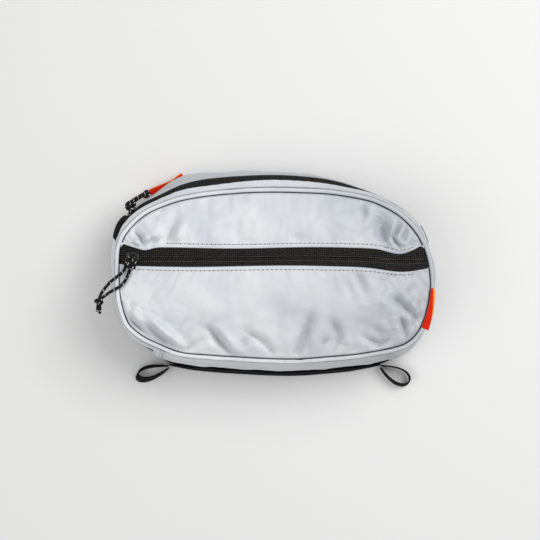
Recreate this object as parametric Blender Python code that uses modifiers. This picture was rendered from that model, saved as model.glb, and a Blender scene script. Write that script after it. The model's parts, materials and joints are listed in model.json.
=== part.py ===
"""A small two-zip hip pouch of coated nylon, lying on its back.

Front panel with a straight zip pocket, a gusset with an arched main zip over the top, a padded
back, cord pulls on both sliders and a lash tape with two loops along the bottom seam.
Metres, +Z up. The origin is the middle of the back pad's outer face. +X is the wearer's left,
+Y the pouch's top and +Z its front.
"""
import math

import bmesh
import bpy
import numpy as np
from mathutils import Matrix, Vector

# Overall body, measured at the front seam.
SEAM_WIDTH = 0.273
SEAM_HEIGHT = 0.1465
SEAM_CENTRE_Y = -0.003
DEPTH = 0.067
CROWN = 0.0145
FABRIC = 0.0012
GAP = 0.0003

# How far the gusset stands outside the front seam at the top, sides and bottom, and how far its
# top arc ends from its widest point.
FRONT_FOLD = {"top": 0.0118, "side": 0.0060, "bottom": 0.0060, "corner": 0.0137}
REAR_FOLD = {"top": 0.0176, "side": 0.0085, "bottom": 0.0092, "corner": 0.0137}
BELLY = {"top": 0.0210, "side": 0.0095, "bottom": 0.0130, "corner": 0.0210}
BACK_SEAM = {"top": 0.0188, "side": 0.0080, "bottom": 0.0147, "corner": 0.0300}
FRONT_FOLD_DOWN = 0.009
REAR_FOLD_DOWN = 0.024
BELLY_UP = 0.026

# Plan outline: end angles of the round stretches, from straight up, and the known radii.
TOP_RADIUS = 0.52
BOTTOM_RADIUS = 0.53
SEAM_ANGLES = (9.0, 78.0, 105.0, 168.0, 180.0)
GUSSET_ANGLES = (70.0, 105.0, 170.0, 180.0)
ZIP_ARC_RADIUS = 0.266

# Facets: longest step along a straight stretch, largest turn round a corner, and, as shares of
# the half outline, the shortest step and the distance each way over which a direction is taken.
STRAIGHT_STEP = 0.013
CORNER_STEP = math.radians(14)
SHORTEST_STEP = 0.004
LOOK_ALONG = 0.002

# Bindings.
FRONT_BINDING_RADIUS = 0.0022
BACK_BINDING_RADIUS = 0.0025

# Back.
BACK_PAD_THICKNESS = 0.0046
BACK_PAD_MARGIN = 0.012
BACK_PANEL_THICKNESS = 0.0012
DIVIDER_DEPTH = 0.0085
DIVIDER_THICKNESS = 0.0008
DIVIDER_MARGIN = 0.006

# Zips, size 5 reverse coil.
ZIP_WINDOW = 0.016
ZIP_SLOT = 0.0012
TAPE_THICKNESS = 0.0008
TAPE_EDGE_CLEARANCE = 0.0012
COIL_RADIUS = 0.001
FRONT_ZIP_Y = 0.0132
FRONT_ZIP_END = 0.0012
TOP_ZIP_END_Y = 0.043
TAB_LENGTH = 0.015
TAB_THICKNESS = 0.0024

# Zip sliders.
SLIDER_LENGTH = 0.012
SLIDER_WIDTH = 0.0095
PLATE_THICKNESS = 0.0013
POST_WIDTH = 0.0006
POST_LENGTH = 0.005
BRIDGE_HEIGHT = 0.005
BRIDGE_SPAN = 0.0088
BRIDGE_RADIUS = 0.0007

# Cord pulls.
CORD_RADIUS = 0.00125
CORD_STEP = 0.0022
WRAP_RADIUS = 0.00225
KNOT_RADIUS = 0.0034
KNOT_HALF_LENGTH = 0.0044

# Lash tape and loops.
LASH_HEIGHT = 0.008
LASH_LOW_EDGE = 0.0015
LASH_THICKNESS = 0.0013
LASH_HALF_LENGTH = 0.097
LASH_CLEARANCE = 0.0006
LOOP_STANDOFF = 0.0012
LOOP_FULLEST = 1.54
LOOP_LEFT = {"length": 0.030, "width": 0.0100, "angle": 193.0}
LOOP_RIGHT = {"length": 0.031, "width": 0.0135, "angle": -26.0}
BOTTOM_PANEL_HALF_WIDTH = 0.098

# Labels.
LABEL_THICKNESS = 0.0009
SIDE_LABEL_TOP_Y = -0.0135
SIDE_LABEL_LENGTH = 0.036
SIDE_LABEL_WIDTH = 0.006
TOP_LABEL_ANGLES = (-25.2, -17.6)
TOP_LABEL_WIDTH = 0.0105
TOP_LABEL_SHARE = 0.157

# Points that the two legs of each cord pull pass through, from the knot end to the slider, and
# its knot and tails, all as distances from the middle of the slider's bridge. The top pull hangs
# beside the gusset, and its drop follows the pouch's depth from the depth that it's given for.
FRONT_LOWER_LEG = (
    (-0.0248, -0.0344, -0.0051), (-0.0181, -0.0295, -0.0036), (-0.0093, -0.0236, -0.0030),
    (-0.0050, -0.0170, -0.0032), (-0.0032, -0.0104, -0.0031), (-0.0022, -0.0050, -0.0027),
)
FRONT_UPPER_LEG = (
    (-0.0274, -0.0328, -0.0049), (-0.0229, -0.0267, -0.0035), (-0.0164, -0.0200, -0.0023),
    (-0.0089, -0.0144, -0.0010), (-0.0047, -0.0100, 0.0005), (-0.0030, -0.0048, 0.0015),
)
FRONT_KNOT = (-0.0288, -0.0378, -0.0060)
FRONT_KNOT_AXIS = (-0.55, -0.82, -0.20)
FRONT_TAILS = (
    ((-0.0284, -0.0394, -0.0064), (-0.0278, -0.0432, -0.0069), (-0.0276, -0.0485, -0.0079)),
    ((-0.0292, -0.0394, -0.0062), (-0.0304, -0.0422, -0.0067), (-0.0316, -0.0464, -0.0074)),
)
TOP_INNER_LEG = (
    (0.0138, 0.0140, -0.0208), (0.0113, 0.0123, -0.0143), (0.0070, 0.0097, -0.0098),
    (0.0017, 0.0060, -0.0075), (-0.0011, 0.0024, -0.0065), (-0.0006, -0.0003, -0.0049),
)
TOP_OUTER_LEG = (
    (0.0141, 0.0167, -0.0203), (0.0113, 0.0150, -0.0123), (0.0065, 0.0120, -0.0073),
    (0.0007, 0.0083, -0.0049), (-0.0023, 0.0049, -0.0033), (-0.0021, 0.0024, -0.0011),
)
TOP_PULL_DEPTH = 0.067
TOP_KNOT = (0.0151, 0.0157, -0.0263)
TOP_KNOT_AXIS = (0.08, 0.06, -1.0)
TOP_TAILS = (
    ((0.0155, 0.0155, -0.0278), (0.0158, 0.0153, -0.0308), (0.0163, 0.0150, -0.0358)),
    ((0.0147, 0.0161, -0.0273), (0.0141, 0.0169, -0.0301), (0.0134, 0.0180, -0.0351)),
)

HALF_WIDTH = SEAM_WIDTH / 2
SEAM_TOP = SEAM_CENTRE_Y + SEAM_HEIGHT / 2
SEAM_BOTTOM = SEAM_CENTRE_Y - SEAM_HEIGHT / 2
TOP_LABEL_HEIGHT = TOP_LABEL_SHARE * DEPTH

SILVER = (0.60, 0.63, 0.66)
BLACK = (0.012, 0.012, 0.013)
RED = (0.72, 0.06, 0.03)


class Outline:
    """A closed plan outline of tangent arcs, the same left and right of the Y axis."""

    def __init__(self, top, bottom, half_width, end_angles, radii):
        self.arcs = []
        angles = [0.0] + [math.radians(angle) for angle in end_angles]
        spans = list(zip(angles[:-1], angles[1:]))
        quarter = math.pi / 2
        rows = [[], [], []]
        for start, end in spans:
            rows[0].append(math.sin(end) - math.sin(start))
            rows[1].append(math.sin(min(end, quarter)) - math.sin(min(start, quarter)))
            rows[2].append(math.cos(start) - math.cos(end))
        matrix = np.array(rows)
        wanted = np.array([0.0, half_width, top - bottom])
        unknown = [k for k, radius in enumerate(radii) if radius is None]
        for k, radius in enumerate(radii):
            if radius is not None:
                wanted = wanted - matrix[:, k] * radius
        solved = np.linalg.solve(matrix[:, unknown], wanted)
        radii = list(radii)
        for k, radius in zip(unknown, solved):
            radii[k] = float(radius)
        self.radii = radii
        x, y, travelled = 0.0, top, 0.0
        for (start, end), radius in zip(spans, radii):
            self.arcs.append((x, y, start, end, radius, travelled))
            x += radius * (math.sin(end) - math.sin(start))
            y -= radius * (math.cos(start) - math.cos(end))
            travelled += radius * (end - start)
        self.half_length = travelled

    def at(self, place, offset=0.0):
        """Point at a place from -1 (bottom, by the left) over 0 (top) to 1 (bottom, by the right)."""
        side = -1.0 if place < 0 else 1.0
        travelled = min(abs(place), 1.0) * self.half_length
        arc = [a for a in self.arcs if a[5] <= travelled + 1e-12][-1]
        x, y, start, end, radius, before = arc
        angle = start + (travelled - before) / radius
        x += radius * (math.sin(angle) - math.sin(start)) + offset * math.sin(angle)
        y -= radius * (math.cos(start) - math.cos(angle)) - offset * math.cos(angle)
        return side * x, y

    def place_where(self, test):
        """The first place right of the top where the test of (x, y) becomes true."""
        low, high = 0.0, 1.0
        for _ in range(50):
            middle = (low + high) / 2
            low, high = (low, middle) if test(*self.at(middle)) else (middle, high)
        return high

    def ring(self, count, offset=0.0):
        return [self.at(2 * k / count - 1, offset) for k in range(count)]


def gusset_outline(level):
    top = SEAM_TOP + level["top"]
    half_width = HALF_WIDTH + level["side"]
    radius = ZIP_ARC_RADIUS + top - ZIP_TOP
    first = math.degrees(math.asin((half_width - level["corner"]) / radius))
    return Outline(top, SEAM_BOTTOM - level["bottom"], half_width, (first,) + GUSSET_ANGLES,
                   (radius, None, None, None, BOTTOM_RADIUS + level["bottom"]))


ZIP_TOP = SEAM_TOP + (FRONT_FOLD["top"] + REAR_FOLD["top"]) / 2
ZIP_CENTRE_Y = ZIP_TOP - ZIP_ARC_RADIUS
SEAM = Outline(SEAM_TOP, SEAM_BOTTOM, HALF_WIDTH, SEAM_ANGLES,
               (TOP_RADIUS, None, None, None, BOTTOM_RADIUS))
LEVELS = [gusset_outline(level) for level in (FRONT_FOLD, REAR_FOLD, BELLY, BACK_SEAM)]
BACK_BINDING_Z = BACK_PAD_THICKNESS + BACK_PANEL_THICKNESS / 2 + GAP
BACK_SEAM_Z = BACK_BINDING_Z + BACK_BINDING_RADIUS + 2 * GAP
LEVEL_Z = [DEPTH - FRONT_FOLD_DOWN, DEPTH - REAR_FOLD_DOWN, BELLY_UP, BACK_SEAM_Z]
EDGE_Z = DEPTH - FRONT_BINDING_RADIUS - GAP
BACK_OUTLINE = LEVELS[3]

FRONT_ZIP_RADIUS = (HALF_WIDTH ** 2 + CROWN ** 2) / (2 * CROWN)
FRONT_ZIP_CENTRE_Z = DEPTH + CROWN - FRONT_ZIP_RADIUS
FRONT_CORNER = SEAM.place_where(lambda x, y: y < FRONT_ZIP_Y + ZIP_WINDOW / 2)
FRONT_ZIP_HALF_LENGTH = SEAM.at(FRONT_CORNER)[0] - FRONT_ZIP_END
FRONT_PARK_X = -(FRONT_ZIP_HALF_LENGTH - SLIDER_LENGTH / 2)
FRONT_PARK_ANGLE = math.asin(FRONT_PARK_X / FRONT_ZIP_RADIUS)


def wall_point(place, height):
    """Point on the gusset; height 0 is its front edge, 1 front fold, 2 rear fold, 4 back seam."""
    points = [Vector((*SEAM.at(place, FRONT_BINDING_RADIUS), EDGE_Z))]
    points += [Vector((*level.at(place), z)) for level, z in zip(LEVELS, LEVEL_Z)]
    index = min(int(height), len(points) - 2)
    t = height - index
    before = points[max(index - 1, 0)]
    start, end = points[index], points[index + 1]
    after = points[min(index + 2, len(points) - 1)]
    leave, arrive = (end - before) / 2, (after - start) / 2
    return (start * (2 * t ** 3 - 3 * t ** 2 + 1) + leave * (t ** 3 - 2 * t ** 2 + t)
            + end * (3 * t ** 2 - 2 * t ** 3) + arrive * (t ** 3 - t ** 2))


def zip_frame(place):
    """Middle of the main zip at a place, with the directions across it (to the back) and outwards."""
    front = Vector((*LEVELS[0].at(place), LEVEL_Z[0]))
    rear = Vector((*LEVELS[1].at(place), LEVEL_Z[1]))
    ahead = Vector((*LEVELS[0].at(place + LOOK_ALONG), 0))
    ahead -= Vector((*LEVELS[0].at(place - LOOK_ALONG), 0))
    across = (rear - front).normalized()
    outward = ahead.cross(across).normalized()
    return (front + rear) / 2, across, outward, (rear - front).length


def top_zip_point(place, across_offset, lift):
    middle, across, outward, width = zip_frame(place)
    return middle + across * across_offset * width / ZIP_WINDOW + outward * lift


def front_zip_point(x, across_offset, lift):
    angle = math.asin(x / FRONT_ZIP_RADIUS)
    radius = FRONT_ZIP_RADIUS + lift
    return Vector((radius * math.sin(angle), FRONT_ZIP_Y + across_offset,
                   FRONT_ZIP_CENTRE_Z + radius * math.cos(angle)))


def fresh_scene():
    for old in list(bpy.data.objects):
        bpy.data.objects.remove(old)
    parts = bpy.data.collections.new("hip_pouch")
    cutters = bpy.data.collections.new("cutters")
    bpy.context.scene.collection.children.link(parts)
    bpy.context.scene.collection.children.link(cutters)
    return parts, cutters


PARTS, CUTTERS = fresh_scene()


def finish(obj, color, roughness, metallic=0.0, axis=None):
    """Gives a part its collection, its own material and, for a moving one, its joint's empty."""
    PARTS.objects.link(obj)
    material = bpy.data.materials.new(obj.name)
    material.use_nodes = True
    shader = material.node_tree.nodes["Principled BSDF"]
    shader.inputs["Base Color"].default_value = (*color, 1.0)
    shader.inputs["Roughness"].default_value = roughness
    shader.inputs["Metallic"].default_value = metallic
    obj.data.materials.append(material)
    if axis is not None:
        obj.parent = axis
        obj.matrix_parent_inverse = Matrix.Translation(-axis.location)
    return obj


def joint_axis(name, location):
    empty = bpy.data.objects.new(name, None)
    empty.location = location
    PARTS.objects.link(empty)
    return empty


def sheet(name, point, columns, rows, thickness, offset=-1.0, flip=False):
    """A sheet through point(column, row) with its thickness behind it."""
    bm = bmesh.new()
    grid = [[bm.verts.new(point(u, v)) for v in rows] for u in columns]
    for left, right in zip(grid[:-1], grid[1:]):
        for k in range(len(rows) - 1):
            corners = (left[k], right[k], right[k + 1], left[k + 1])
            bm.faces.new(corners[::-1] if flip else corners)
    bmesh.ops.remove_doubles(bm, verts=bm.verts, dist=0.0001)
    mesh = bpy.data.meshes.new(name)
    bm.to_mesh(mesh)
    bm.free()
    mesh.shade_smooth()
    obj = bpy.data.objects.new(name, mesh)
    solid = obj.modifiers.new("thickness", "SOLIDIFY")
    solid.thickness = thickness
    solid.offset = offset
    return obj


def plate(name, outline, margin, low, thickness, count=72):
    """A flat piece with a plan outline, from its low face up."""
    curve = bpy.data.curves.new(name, "CURVE")
    curve.dimensions = "2D"
    curve.fill_mode = "BOTH"
    curve.extrude = thickness / 2
    spline = curve.splines.new("POLY")
    points = outline.ring(count, -margin)
    spline.points.add(len(points) - 1)
    for spot, (x, y) in zip(spline.points, points):
        spot.co = (x, y, 0, 1)
    spline.use_cyclic_u = True
    obj = bpy.data.objects.new(name, curve)
    obj.location = (0, 0, low + thickness / 2)
    return obj


def tube(name, points, radius, closed=False, resolution=2):
    curve = bpy.data.curves.new(name, "CURVE")
    curve.dimensions = "3D"
    curve.bevel_depth = radius
    curve.bevel_resolution = resolution
    curve.render_resolution_u = 0
    curve.use_fill_caps = not closed
    spline = curve.splines.new("POLY")
    spline.points.add(len(points) - 1)
    for spot, point in zip(spline.points, points):
        spot.co = (*point, 1)
    spline.use_cyclic_u = closed
    return bpy.data.objects.new(name, curve)


def smooth_route(points, step):
    """Points at even steps on the smooth curve through a route's own points."""
    ends = [points[0] * 2 - points[1]] + list(points) + [points[-1] * 2 - points[-2]]
    dense = []
    for a, b, c, d in zip(ends[:-3], ends[1:-2], ends[2:-1], ends[3:]):
        for k in range(12):
            t = k / 12
            dense.append(b + (c - a) * (t / 2) + (a * 2 - b * 5 + c * 4 - d) * (t * t / 2)
                         + (b * 3 - a - c * 3 + d) * (t ** 3 / 2))
    dense.append(points[-1])
    lengths = [0.0]
    for start, end in zip(dense[:-1], dense[1:]):
        lengths.append(lengths[-1] + (end - start).length)
    count = max(2, round(lengths[-1] / step))
    wanted = np.linspace(0.0, lengths[-1], count + 1)
    columns = [np.interp(wanted, lengths, [p[axis] for p in dense]) for axis in range(3)]
    return [Vector(point) for point in zip(*columns)]


def spaced(start, end, count):
    return [start + (end - start) * k / count for k in range(count + 1)]


def gusset_places(start, stop):
    """Places along the gusset, closer together round its corners; past 1 they go on to the left."""
    front = LEVELS[0]
    steps = [0.0]
    for _, _, first, last, radius, before in front.arcs:
        length = radius * (last - first)
        count = math.ceil(max((last - first) / CORNER_STEP, length / STRAIGHT_STEP))
        steps += [(before + length * (k + 1) / count) / front.half_length for k in range(count)]
    around = [-place for place in steps[:0:-1]] + steps + [2 - place for place in steps[-2::-1]]
    between = [place for place in around if start + SHORTEST_STEP < place < stop - SHORTEST_STEP]
    return [start] + between + [stop]


def make_body():
    """Panels, gusset, bindings and back, all sewn to each other."""
    pad_top = BACK_PAD_THICKNESS
    finish(plate("back_pad", BACK_OUTLINE, BACK_PAD_MARGIN, 0, pad_top), BLACK, 0.95)
    panel_margin = BACK_BINDING_RADIUS + GAP
    finish(plate("back_panel", BACK_OUTLINE, panel_margin, pad_top + GAP, BACK_PANEL_THICKNESS),
           BLACK, 0.8)
    finish(plate("pocket_divider", SEAM, DIVIDER_MARGIN, DEPTH - DIVIDER_DEPTH, DIVIDER_THICKNESS),
           BLACK, 0.8)
    ring = [(x, y, BACK_BINDING_Z) for x, y in BACK_OUTLINE.ring(84, GAP)]
    finish(tube("back_binding", ring, BACK_BINDING_RADIUS, closed=True, resolution=1), BLACK, 0.85)
    ring = [(x, y, DEPTH) for x, y in SEAM.ring(96, FRONT_BINDING_RADIUS + GAP)]
    finish(tube("front_binding", ring, FRONT_BINDING_RADIUS, closed=True, resolution=1),
           SILVER, 0.6)

    tab_end = END_PLACE + TAB_LENGTH / SEAM.half_length
    cross_seam = SEAM.place_where(
        lambda x, y: y < SEAM_CENTRE_Y and x < BOTTOM_PANEL_HALF_WIDTH)
    half_gap = GAP / 2 / SEAM.half_length
    over_top = gusset_places(-tab_end + half_gap, tab_end - half_gap)
    finish(sheet("gusset_front_strip", wall_point, over_top, spaced(0, 1, 2), FABRIC), SILVER, 0.6)
    finish(sheet("gusset_rear_strip", wall_point, over_top, spaced(2, 4, 4), FABRIC), SILVER, 0.6)
    side = gusset_places(tab_end + half_gap, cross_seam - half_gap)
    full_height = spaced(0, 4, 7)
    finish(sheet("gusset_side_right", wall_point, side, full_height, FABRIC), SILVER, 0.6)
    side = [-place for place in side[::-1]]
    finish(sheet("gusset_side_left", wall_point, side, full_height, FABRIC), SILVER, 0.6)
    under = gusset_places(cross_seam + half_gap, 2 - cross_seam - half_gap)
    finish(sheet("gusset_bottom_panel", lambda u, v: wall_point(u if u <= 1 else u - 2, v),
                 under, full_height, FABRIC), SILVER, 0.6)


def make_front_panel(name, fold_y, columns):
    """One half of the front, from its folded edge at the zip out to the front seam."""
    upper = fold_y > FRONT_ZIP_Y
    corner = SEAM.place_where(lambda x, y: y < fold_y)
    corner_x = SEAM.at(corner, -GAP)[0]

    def point(u, v):
        place = u * corner
        if not upper:
            place = math.copysign(1, u) - u * (1 - corner)
        edge = Vector((*SEAM.at(place, -GAP), DEPTH))
        fold = front_zip_point(u * corner_x, 0, 0)
        fold.y = fold_y
        plan = fold.lerp(edge, v)
        plan.z = fold.z + (edge.z - fold.z) * v * v
        return plan

    obj = sheet(name, point, spaced(-1, 1, columns), spaced(0, 1, 5), FABRIC, flip=not upper)
    return finish(obj, SILVER, 0.6)


def make_zip_tapes():
    """Both zips: each half is a woven tape with its coil behind it."""
    inner, outer = ZIP_SLOT / 2, ZIP_WINDOW / 2 - TAPE_EDGE_CLEARANCE
    tape_face = -GAP
    coil_lift = tape_face - TAPE_THICKNESS - GAP - COIL_RADIUS
    coil_offset = inner + COIL_RADIUS
    end_x = FRONT_ZIP_HALF_LENGTH
    for name, sign in (("upper", 1), ("lower", -1)):
        edges = (inner * sign, outer * sign)
        columns = spaced(-end_x, end_x, 30)
        obj = sheet("front_zip_tape_" + name, lambda u, v: front_zip_point(u, v, tape_face),
                    columns, edges, TAPE_THICKNESS, flip=sign < 0)
        finish(obj, BLACK, 0.8)
        route = [front_zip_point(x, coil_offset * sign, coil_lift) for x in columns]
        finish(tube("front_zip_coil_" + name, route, COIL_RADIUS, resolution=1), BLACK, 0.5)
    end = END_PLACE - 3 * GAP / SEAM.half_length
    for name, sign in (("front", -1), ("rear", 1)):
        edges = sorted((inner * sign, outer * sign))
        columns = gusset_places(-end, end)
        obj = sheet("top_zip_tape_" + name, lambda u, v: top_zip_point(u, v, tape_face),
                    columns, edges, TAPE_THICKNESS)
        finish(obj, BLACK, 0.8)
        route = [top_zip_point(place, coil_offset * sign, coil_lift) for place in columns]
        finish(tube("top_zip_coil_" + name, route, COIL_RADIUS, resolution=1), BLACK, 0.5)
    tab_end = END_PLACE + TAB_LENGTH / SEAM.half_length - GAP / SEAM.half_length
    for name, start, stop in (("left", -tab_end, -END_PLACE), ("right", END_PLACE, tab_end)):
        obj = sheet("zip_end_tab_" + name, lambda u, v: top_zip_point(u, v, TAB_THICKNESS / 2),
                    gusset_places(start, stop), (-outer, outer), TAB_THICKNESS)
        finish(obj, BLACK, 0.8)


def block(name, size, centre, placing):
    bpy.ops.mesh.primitive_cube_add(size=1)
    obj = bpy.context.object
    obj.name = name
    obj.data.transform(placing @ Matrix.Translation(centre) @ Matrix.Diagonal((*size, 1)))
    for collection in list(obj.users_collection):
        collection.objects.unlink(obj)
    return obj


def join_to(obj, other):
    CUTTERS.objects.link(other)
    other.hide_render = True
    other.display_type = "WIRE"
    union = obj.modifiers.new(other.name, "BOOLEAN")
    union.operation = "UNION"
    union.solver = "EXACT"
    union.object = other


def solid_of(curve_obj):
    """The closed mesh of a tube, with its caps welded on, so that a Boolean can take it."""
    bpy.context.scene.collection.objects.link(curve_obj)
    evaluated = curve_obj.evaluated_get(bpy.context.evaluated_depsgraph_get())
    mesh = bpy.data.meshes.new_from_object(evaluated)
    bm = bmesh.new()
    bm.from_mesh(mesh)
    bmesh.ops.remove_doubles(bm, verts=bm.verts, dist=0.00001)
    bm.to_mesh(mesh)
    bm.free()
    name = curve_obj.name
    bpy.data.objects.remove(curve_obj)
    return bpy.data.objects.new(name + "_solid", mesh)


def make_slider(name, middle, ahead, outward, axis):
    """Upper and lower plate, the thin post between them, and the bridge that the cord goes round."""
    across = outward.cross(ahead)
    placing = Matrix((ahead, across, outward)).transposed().to_4x4()
    placing.translation = middle
    coil_back = 2 * GAP + TAPE_THICKNESS + 2 * COIL_RADIUS
    low = -(coil_back + GAP + PLATE_THICKNESS)
    overlap = PLATE_THICKNESS / 2
    size = (SLIDER_LENGTH, SLIDER_WIDTH, PLATE_THICKNESS)
    slider = block(name, size, (0, 0, PLATE_THICKNESS / 2), placing)
    post = (POST_LENGTH, POST_WIDTH, -low)
    join_to(slider, block(name + "_post", post, (0, 0, low / 2 + overlap / 2), placing))
    join_to(slider, block(name + "_under", size, (0, 0, low + PLATE_THICKNESS / 2), placing))
    half, height = BRIDGE_SPAN / 2, BRIDGE_HEIGHT
    bend = height - 2 * BRIDGE_RADIUS
    arch = [(-half, overlap), (-half, bend), (-half + height - bend, height),
            (half - height + bend, height), (half, bend), (half, overlap)]
    bridge = solid_of(tube(name + "_bridge", [placing @ Vector((x, 0, z)) for x, z in arch],
                           BRIDGE_RADIUS))
    join_to(slider, bridge)
    return finish(slider, (0.03, 0.03, 0.032), 0.35, 0.6, axis)


def make_pull(name, legs, knot, knot_axis, tails, bar, back, outward, axis, drop=1.0):
    """The cord loop round a slider's bridge, and the overhand knot that closes it."""
    def hung(point):
        return bar + Vector((point[0], point[1], point[2] * drop))

    lower, upper = [[hung(point) for point in leg] for leg in legs]
    wrap = []
    for k in range(1, 6):
        angle = math.pi * k / 6
        wrap.append(bar - outward * WRAP_RADIUS * math.cos(angle)
                    - back * WRAP_RADIUS * math.sin(angle))
    route = lower + wrap + upper[::-1]
    finish(tube(name + "_cord", smooth_route(route, CORD_STEP), CORD_RADIUS), BLACK, 0.7,
           axis=axis)
    bpy.ops.mesh.primitive_uv_sphere_add(segments=14, ring_count=8, radius=1)
    ball = bpy.context.object
    ball.name = name + "_knot"
    turn = Vector(knot_axis).to_track_quat("Z", "Y").to_matrix().to_4x4()
    size = Matrix.Diagonal((KNOT_RADIUS, KNOT_RADIUS, KNOT_HALF_LENGTH, 1))
    ball.data.transform(Matrix.Translation(hung(knot)) @ turn @ size)
    for collection in list(ball.users_collection):
        collection.objects.unlink(ball)
    for number, tail in enumerate(tails, 1):
        route = smooth_route([hung(point) for point in tail], CORD_STEP)
        join_to(ball, solid_of(tube(f"{name}_tail_{number}", route, CORD_RADIUS)))
    finish(ball, BLACK, 0.7, axis=axis)


def make_front_slider():
    middle = front_zip_point(FRONT_PARK_X, 0, 0)
    angle = FRONT_PARK_ANGLE
    ahead = Vector((math.cos(angle), 0, -math.sin(angle)))
    outward = Vector((math.sin(angle), 0, math.cos(angle)))
    track = joint_axis("front_slider_axis", (0, FRONT_ZIP_Y, FRONT_ZIP_CENTRE_Z))
    make_slider("front_zip_slider", middle, ahead, outward, track)
    bar = middle + outward * BRIDGE_HEIGHT
    swing = joint_axis("front_pull_axis", bar)
    make_pull("front_pull", (FRONT_LOWER_LEG, FRONT_UPPER_LEG), FRONT_KNOT, FRONT_KNOT_AXIS,
              FRONT_TAILS, bar, Vector((0, -1, 0)), outward, swing)


def make_top_slider():
    arc_end = LEVELS[0].arcs[1][5]
    zip_end = min(arc_end, END_PLACE * LEVELS[0].half_length - 6 * GAP)
    park = -(zip_end - SLIDER_LENGTH / 2) / LEVELS[0].half_length
    middle = zip_frame(park)[0]
    radial = Vector((middle.x, middle.y - ZIP_CENTRE_Y, 0)).normalized()
    ahead = Vector((radial.y, -radial.x, 0))
    across = radial * (REAR_FOLD["top"] - FRONT_FOLD["top"])
    across.z = FRONT_FOLD_DOWN - REAR_FOLD_DOWN
    across.normalize()
    outward = ahead.cross(across)
    track = joint_axis("top_slider_axis", (0, ZIP_CENTRE_Y, middle.z))
    make_slider("top_zip_slider", middle, ahead, outward, track)
    bar = middle + outward * BRIDGE_HEIGHT
    swing = joint_axis("top_pull_axis", bar)
    make_pull("top_pull", (TOP_INNER_LEG, TOP_OUTER_LEG), TOP_KNOT, TOP_KNOT_AXIS,
              TOP_TAILS, bar, across, outward, swing, DEPTH / TOP_PULL_DEPTH)


def make_lash_tape():
    """The tape along the bottom seam and the loop standing out at each end."""
    offset = GAP + BACK_BINDING_RADIUS + LASH_CLEARANCE + LASH_THICKNESS / 2
    end = BACK_OUTLINE.place_where(lambda x, y: y < SEAM_CENTRE_Y and x < LASH_HALF_LENGTH)
    heights = (LASH_LOW_EDGE + LASH_HEIGHT, LASH_LOW_EDGE)

    def along_seam(place, z):
        return (*BACK_OUTLINE.at(place if place <= 1 else place - 2, offset), z)

    obj = sheet("lash_tape", along_seam, spaced(end, 2 - end, 16), heights, LASH_THICKNESS, 0.0)
    finish(obj, BLACK, 0.85)
    for name, sign, loop in (("left", -1, LOOP_LEFT), ("right", 1, LOOP_RIGHT)):
        root = Vector((*BACK_OUTLINE.at(sign * end, offset), 0))
        before = Vector((*BACK_OUTLINE.at(sign * (end - 0.01), offset), 0))
        root += (before - root).normalized() * LASH_CLEARANCE + Vector((0, -LOOP_STANDOFF, 0))
        angle = math.radians(loop["angle"])
        ahead = Vector((math.cos(angle), math.sin(angle), 0))
        across = Vector((-math.sin(angle), math.cos(angle), 0))
        opening = LASH_THICKNESS / 2 + GAP

        def around(turn, z):
            swell = math.sin(turn) * math.sin(turn / 2)
            side = math.copysign(opening, math.pi - turn)
            reach = ahead * loop["length"] * (1 - math.cos(turn)) / 2
            apart = swell * loop["width"] / LOOP_FULLEST + side * abs(math.cos(turn / 2))
            spot = root + reach + across * apart
            return (spot.x, spot.y, z)

        hinge = joint_axis("lash_loop_" + name + "_axis", root)
        turns = spaced(0.0, 2 * math.pi, 28)
        obj = sheet("lash_loop_" + name, around, turns, heights, LASH_THICKNESS, 0.0, flip=True)
        finish(obj, BLACK, 0.85, axis=hinge)


def make_labels():
    """Plain two-colour labels with nothing printed on them."""
    start = SEAM.place_where(lambda x, y: y < SIDE_LABEL_TOP_Y)
    stop = start + SIDE_LABEL_LENGTH / SEAM.half_length
    low = DEPTH + FRONT_BINDING_RADIUS + GAP
    obj = sheet("side_label", lambda u, v: (*SEAM.at(u, v), low),
                spaced(start, stop, 6), (0.0, SIDE_LABEL_WIDTH), LABEL_THICKNESS, 1.0)
    finish(obj, RED, 0.5)
    radius = BACK_OUTLINE.radii[0] + BACK_BINDING_RADIUS + 2 * GAP

    def flag(angle, reach):
        turn = math.radians(angle)
        spot = radius + reach
        return (spot * math.sin(turn), ZIP_CENTRE_Y + spot * math.cos(turn), TOP_LABEL_HEIGHT)

    obj = sheet("top_label", flag, spaced(*TOP_LABEL_ANGLES, 6), (TOP_LABEL_WIDTH, 0.0),
                LABEL_THICKNESS, 0.0)
    finish(obj, RED, 0.5)


END_PLACE = LEVELS[0].place_where(lambda x, y: y < TOP_ZIP_END_Y)
make_body()
make_front_panel("front_panel_upper", FRONT_ZIP_Y + ZIP_WINDOW / 2, 36)
make_front_panel("front_panel_lower", FRONT_ZIP_Y - ZIP_WINDOW / 2, 36)
make_zip_tapes()
make_front_slider()
make_top_slider()
make_lash_tape()
make_labels()
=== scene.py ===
"""The looks of a small two-zip hip pouch lying on its back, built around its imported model."""
import json
import math

import bmesh
import bpy
import numpy as np
from mathutils import Matrix, Vector


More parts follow.
